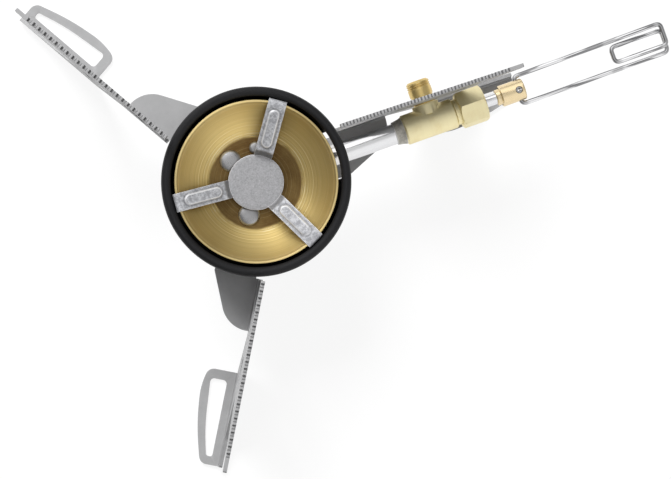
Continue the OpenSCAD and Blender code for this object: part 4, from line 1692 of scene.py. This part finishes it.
    def nut(self) -> None:
        """Makes the packing nut, a hexagon with turned ends."""
        corner = self.nut_af / 2 / math.cos(math.pi / 6)
        flat, length = self.nut_af / 2, self.nut_l
        place = along_x(self.nut_x, self.axis_z)
        relief = self.nut_relief
        fall = (corner - flat + relief) * math.tan(math.radians(30)) + relief
        past = corner + relief / 2
        ends = [
            (0.0, 0.0), (flat - relief, 0.0), (past, fall), (past, length - fall),
            (flat - relief, length), (0.0, length),
        ]
        form = Form("hexagon_nut", place).lathe(drum(corner, 0.0, length), 6, start=self.nut_turn)
        piece = form.cut([Form("ends", place).lathe(ends, 96)], "INTERSECT")
        play, depth = self.nut_hole
        for profile, segments in (
            (drum(self.bore + play, length - depth, length + CLEAR), 64),
            (drum(self.neck_r + SNUG, -CLEAR, self.neck_end - self.nut_x), 96),
        ):
            piece = self.bored(piece, Form("hole", place).lathe(profile, segments))
        piece = soften(piece, self.nut_edge)
        self.add(piece, Slot.VALVE_BRASS, "packing_nut")

    @staticmethod
    def bored(piece: bpy.types.Object, tool: Form) -> bpy.types.Object:
        """Cuts a hole in a finished piece.

        Args:
            piece: The piece.
            tool: What is taken away.

        Returns:
            The piece that replaces it.
        """
        form = Form(piece.name)
        form.bm.from_mesh(piece.data)
        form.bm.transform(Matrix.Scale(1 / MM, 4))
        bpy.data.objects.remove(piece)
        return form.cut([tool])


@dataclass
class Spindle(Assembly):
    """Valve spindle with its brass collar and the hollow pin across it."""

    axis_z: float = 30.2
    radius: float = 2.0
    start: float = 61.0
    end: float = 95.4
    collar_x: float = 87.7
    collar_r: float = 3.65
    collar_l: float = 8.5
    hub_r: float = 2.7
    hub_l: float = 1.5
    pivot_x: float = 94.0
    pin_r: float = 1.1
    pin_sunk: float = 0.2
    pin_slit: float = 0.4
    wire_r: float = 0.86
    taper: float = 2.6
    pin_play: float = 0.12
    edge: float = 0.1

    def rod(self) -> None:
        """Makes the polished spindle."""
        profile = rounded([
            (0.0, self.start, 0.0), (self.radius / 4, self.start, 0.1),
            (self.radius, self.start + self.taper, 0.3), (self.radius, self.end, 0.2), (0.0, self.end, 0.0),
        ], 4)
        form = Form("spindle_rod", along_x(0.0, self.axis_z)).lathe(profile, 56)
        piece = form.cut([self.cross_hole(self.pin_r + SNUG, upright=True)])
        self.add(piece, Slot.TUBE_CHROME, "valve_spindle")

    def cross_hole(self, radius: float, upright: bool) -> Form:
        """Tool for a hole across the spindle at the pivot.

        Args:
            radius: Radius of the hole.
            upright: Whether it runs up, or else sideways.

        Returns:
            The form.
        """
        place = Matrix.Translation((self.pivot_x, 0.0, self.axis_z))
        if not upright:
            place = place @ Matrix.Rotation(math.pi / 2, 4, "X")
        reach = self.collar_r + CLEAR
        return Form("cross_hole", place).lathe(drum(radius, -reach, reach), 48)

    def collar(self) -> None:
        """Makes the collar, with the pin's hole and the handle's two holes."""
        end = self.hub_l + self.collar_l
        bore = self.radius + SNUG
        deep = self.end - self.collar_x + self.hub_l
        profile = rounded([
            (bore, 0.0, 0.0), (self.hub_r, 0.0, 0.3), (self.hub_r, self.hub_l, 0.0),
            (self.collar_r, self.hub_l, 0.45), (self.collar_r, end, 0.5), (0.0, end, 0.0),
            (0.0, deep, 0.0), (bore, deep, 0.0),
        ], 5)
        place = along_x(self.collar_x - self.hub_l, self.axis_z)
        form = Form("brass_collar", place).lathe(profile, 96)
        holes = [self.cross_hole(self.pin_r + self.pin_play, True), self.cross_hole(self.wire_r, False)]
        piece = soften(form.cut(holes), self.edge)
        self.add(piece, Slot.VALVE_BRASS, "spindle_collar")

    def pin(self) -> None:
        """Makes the slit hollow pin."""
        half = math.degrees(math.asin(self.pin_slit / 2 / self.pin_r))
        inside = self.pin_r / 2
        ring = arc((0.0, 0.0), self.pin_r, half, 360 - half, 32)
        ring += arc((0.0, 0.0), inside, 360 - 2 * half, 2 * half, 32)
        reach = self.collar_r - self.pin_sunk
        place = Matrix.Translation((self.pivot_x, 0.0, self.axis_z))
        piece = soften(Form("hollow_pin", place).prism(ring, -reach, reach).object(), self.edge)
        self.add(piece, Slot.RIVET_STEEL, "roll_pin")


@dataclass
class Handle(Assembly):
    """Folding handle of one bent wire."""

    pivot: Triple = (94.0, 0.0, 30.2)
    wire: float = 1.6
    length: float = 53.3
    near: float = 4.8
    left: float = 5.5
    right: float = 4.5
    loop: Triple = (18.6, 3.2, 2.2)
    layer: float = 1.0
    pin: float = 2.25
    bend: float = 1.76

    def route(self) -> list[Vector]:
        """Corners of the wire's path, from the left hole to the right one.

        Returns:
            The corners, from the pivot.
        """
        far = self.length
        long, inner_left, inner_right = self.loop
        return [Vector(p) for p in (
            (0.0, self.pin, 0.0), (0.0, self.near, 0.0), (far, self.left, self.layer),
            (far, -inner_right, self.layer), (far - long, -inner_right, 0.0), (far - long, inner_left, 0.0),
            (far, inner_left, -self.layer), (far, -self.right, -self.layer), (0.0, -self.near, 0.0),
            (0.0, -self.pin, 0.0),
        )]

    def build(self) -> None:
        """Makes the handle."""
        route = self.route()
        path = [route[0]]
        for before, corner, after in zip(route, route[1:], route[2:]):
            start = corner + (before - corner).normalized() * self.bend
            end = corner + (after - corner).normalized() * self.bend
            steps = 12
            for t in (i / steps for i in range(steps + 1)):
                path.append(start * (1 - t) ** 2 + corner * 2 * t * (1 - t) + end * t * t)
        path.append(route[-1])
        form = Form("bent_wire", Matrix.Translation(self.pivot)).tube(path, self.wire / 2, 24)
        self.add(form.object(), Slot.WIRE_CHROME, "wire_handle")


@dataclass
class Inside(Assembly):
    """Pieces under and inside the burner and valve, which keep their solids."""

    NODES: ClassVar[dict[Slot, tuple[str, ...]]] = {
        Slot.PLATE_STEEL: (
            "base_plate", "pivot_washers", "spring_washers", "pivot_spacers", "fixed_leg_shims",
            "bowl_spacer",
        ),
        Slot.RIVET_STEEL: ("fixed_leg_rivets",),
        Slot.VALVE_BRASS: ("mixing_tube", "jet_block", "jet", "packing_washer"),
        Slot.WICK_FIBRE: ("priming_wick",),
        Slot.FILTER_BRASS: ("inlet_filter",),
        Slot.PACKING_RUBBER: ("packing",),
    }

    def build(self) -> None:
        """Dresses the solids."""
        for slot, nodes in self.NODES.items():
            for node in nodes:
                self.palette.dress_node(node, slot)


# Studio


@dataclass
class Studio:
    """Camera, pale floor, key lamp and background."""

    focal_px: float = 1993.69
    image_w: float = 671.0
    sensor: float = 36.0
    eye: Triple = (-0.022774, -0.012342, 0.697596)
    axes: tuple[Triple, ...] = (
        (0.9401520, -0.3342584, 0.0662235),
        (0.3349506, 0.9422354, 0.0006892),
        (-0.0626285, 0.0215336, 0.9978046),
    )
    centre: Triple = (0.02, 0.0, 0.03)
    floor_half: float = 4.0
    floor_drop: float = 0.0002
    ambient: float = 0.24
    key_way: Triple = (-0.1, 1.0, 0.95)
    key_far: float = 1.4
    key_size: float = 0.6
    key_watts: float = 27.0
    key_spread: Pair = (0.72, 0.96)
    fill_way: Pair = (0.55, -0.835)
    fill_spread: Pair = (0.15, 0.6)
    stripe_way: Pair = (0.983, 0.181)
    stripe_spread: Pair = (0.12, 0.55)
    horizon: Pair = (0.05, 0.35)
    mirror_base: float = 0.32
    mirror_stripe: float = 0.62
    mirror_fill: float = 0.4
    mirror_low: float = 0.3
    floor_lit: float = 0.8
    floor_glow: float = 0.9
    floor_diffuse: float = 0.14

    def camera(self) -> None:
        """Sets the camera at the photograph's angle."""
        data = bpy.data.cameras.new("camera")
        data.sensor_fit, data.sensor_width = "HORIZONTAL", self.sensor
        data.lens = self.focal_px * self.sensor / self.image_w
        data.clip_start, data.clip_end = 0.01, 100.0
        camera = bpy.data.objects.new("camera", data)
        camera.matrix_world = Matrix.Translation(self.eye) @ Matrix(self.axes).transposed().to_4x4()
        bpy.context.scene.collection.objects.link(camera)
        bpy.context.scene.camera = camera

    def key(self) -> None:
        """Adds the square key lamp, which faces the stove and is hidden from reflections."""
        data = bpy.data.lights.new("key", "AREA")
        data.size, data.energy = self.key_size, self.key_watts
        lamp = bpy.data.objects.new("key", data)
        toward = Vector(self.key_way).normalized()
        lamp.location = Vector(self.centre) + toward * self.key_far
        lamp.rotation_mode = "QUATERNION"
        lamp.rotation_quaternion = (-toward).to_track_quat("-Z", "Y")
        lamp.visible_glossy = False
        bpy.context.scene.collection.objects.link(lamp)

    @staticmethod
    def rays(nodes: Nodes) -> tuple[Wire, Wire]:
        """Masks of the rays from the camera and of those in reflections.

        Args:
            nodes: Node tree that they are for.

        Returns:
            The two masks.
        """
        path = nodes.node("ShaderNodeLightPath")
        mirror = nodes.wire(path, "Is Glossy Ray").most(nodes.wire(path, "Is Transmission Ray"))
        return nodes.wire(path, "Is Camera Ray"), mirror

    def floor(self) -> None:
        """Makes the pale floor, white where it is seen and darker under the stove."""
        h, z = self.floor_half, -self.floor_drop
        mesh = bpy.data.meshes.new("floor")
        mesh.from_pydata([(-h, -h, z), (h, -h, z), (h, h, z), (-h, h, z)], [], [(0, 1, 2, 3)])
        floor = bpy.data.objects.new("floor", mesh)
        bpy.context.scene.collection.objects.link(floor)
        material = bpy.data.materials.new("pale_floor")
        material.use_nodes = True
        n = Nodes(material.node_tree)
        camera, mirror = self.rays(n)
        plain, faint = (
            n.node("ShaderNodeBsdfDiffuse", inputs={"Color": (shade, shade, shade, 1.0)})
            for shade in (self.floor_lit, self.floor_diffuse)
        )
        glow = n.node("ShaderNodeEmission", inputs={"Strength": self.floor_glow})
        white = n.node("ShaderNodeAddShader", inputs={0: faint.outputs[0], 1: glow.outputs[0]})
        both = n.node(
            "ShaderNodeMixShader",
            inputs={0: camera.most(mirror), 1: plain.outputs[0], 2: white.outputs[0]},
        )
        n.node("ShaderNodeOutputMaterial", inputs={"Surface": both.outputs[0]})
        mesh.materials.append(material)

    def world(self) -> None:
        """Makes the background: white to the camera, a stripe overhead and lit sides to reflections."""
        world = bpy.data.worlds.new("studio")
        world.use_nodes = True
        bpy.context.scene.world = world
        n = Nodes(world.node_tree)
        camera, mirror = self.rays(n)
        way = n.node("ShaderNodeTexCoord")
        x, y, z = n.split(n.wire(way, "Generated"))
        kx, ky, kz = Vector(self.key_way).normalized()
        box = n.ease(x * kx + y * ky + z * kz, *self.key_spread)
        fill = n.ease(x * self.fill_way[0] + y * self.fill_way[1], *self.fill_spread)
        low = (1 - n.ease(z, *self.horizon)) * (1 - fill)
        across = x * self.stripe_way[0] + y * self.stripe_way[1]
        stripe = 1 - n.ease(abs(across), *self.stripe_spread)
        shown = self.mirror_base + self.mirror_stripe * stripe + box + self.mirror_fill * fill
        shown = shown - self.mirror_low * low
        strength = camera + (1 - camera) * (mirror * shown + (1 - mirror) * self.ambient)
        glow = n.node("ShaderNodeBackground", inputs={"Strength": strength})
        n.node("ShaderNodeOutputWorld", inputs={"Surface": glow.outputs[0]})

    def build(self) -> None:
        """Sets up the whole studio."""
        self.camera()
        self.floor()
        self.world()
        self.key()
        bpy.context.scene.view_settings.view_transform = "Standard"
        LOG.info("studio is set")


def main() -> None:
    """Builds the stove and its studio."""
    logging.basicConfig(level=logging.INFO, format="%(name)s: %(message)s")
    Studio().build()
    palette = Palette()
    rivets = ((13.4, 4.2, 1.24), (13.4, -4.2, 1.24))
    pivot = ((10.9, 0.0, 2.06),)
    Leg(palette, "leg_by_tube", "fixed_leg", -1.0, rivets).build()
    Leg(palette, "swing_leg_left", "left_leg", 120.0, pivot, body=Body.LEFT_LEG).build()
    Leg(palette, "swing_leg_right", "right_leg", 239.0, pivot, body=Body.RIGHT_LEG).build()
    burner, fixings, valve = Burner(palette), Fixings(palette), Valve(palette)
    spreader, spindle = FlameSpreader(palette, body=Body.SPREADER), Spindle(palette, body=Body.SPINDLE)
    for make in (
        burner.cup, burner.bowl, spreader.build, fixings.rivets, fixings.screw,
        valve.fuel_tube, valve.ferrule, valve.barrel, valve.inlet, valve.nut,
        spindle.rod, spindle.collar, spindle.pin, Handle(palette, body=Body.HANDLE).build,
        Inside(palette).build,
    ):
        make()


if __name__ == "__main__":
    main()
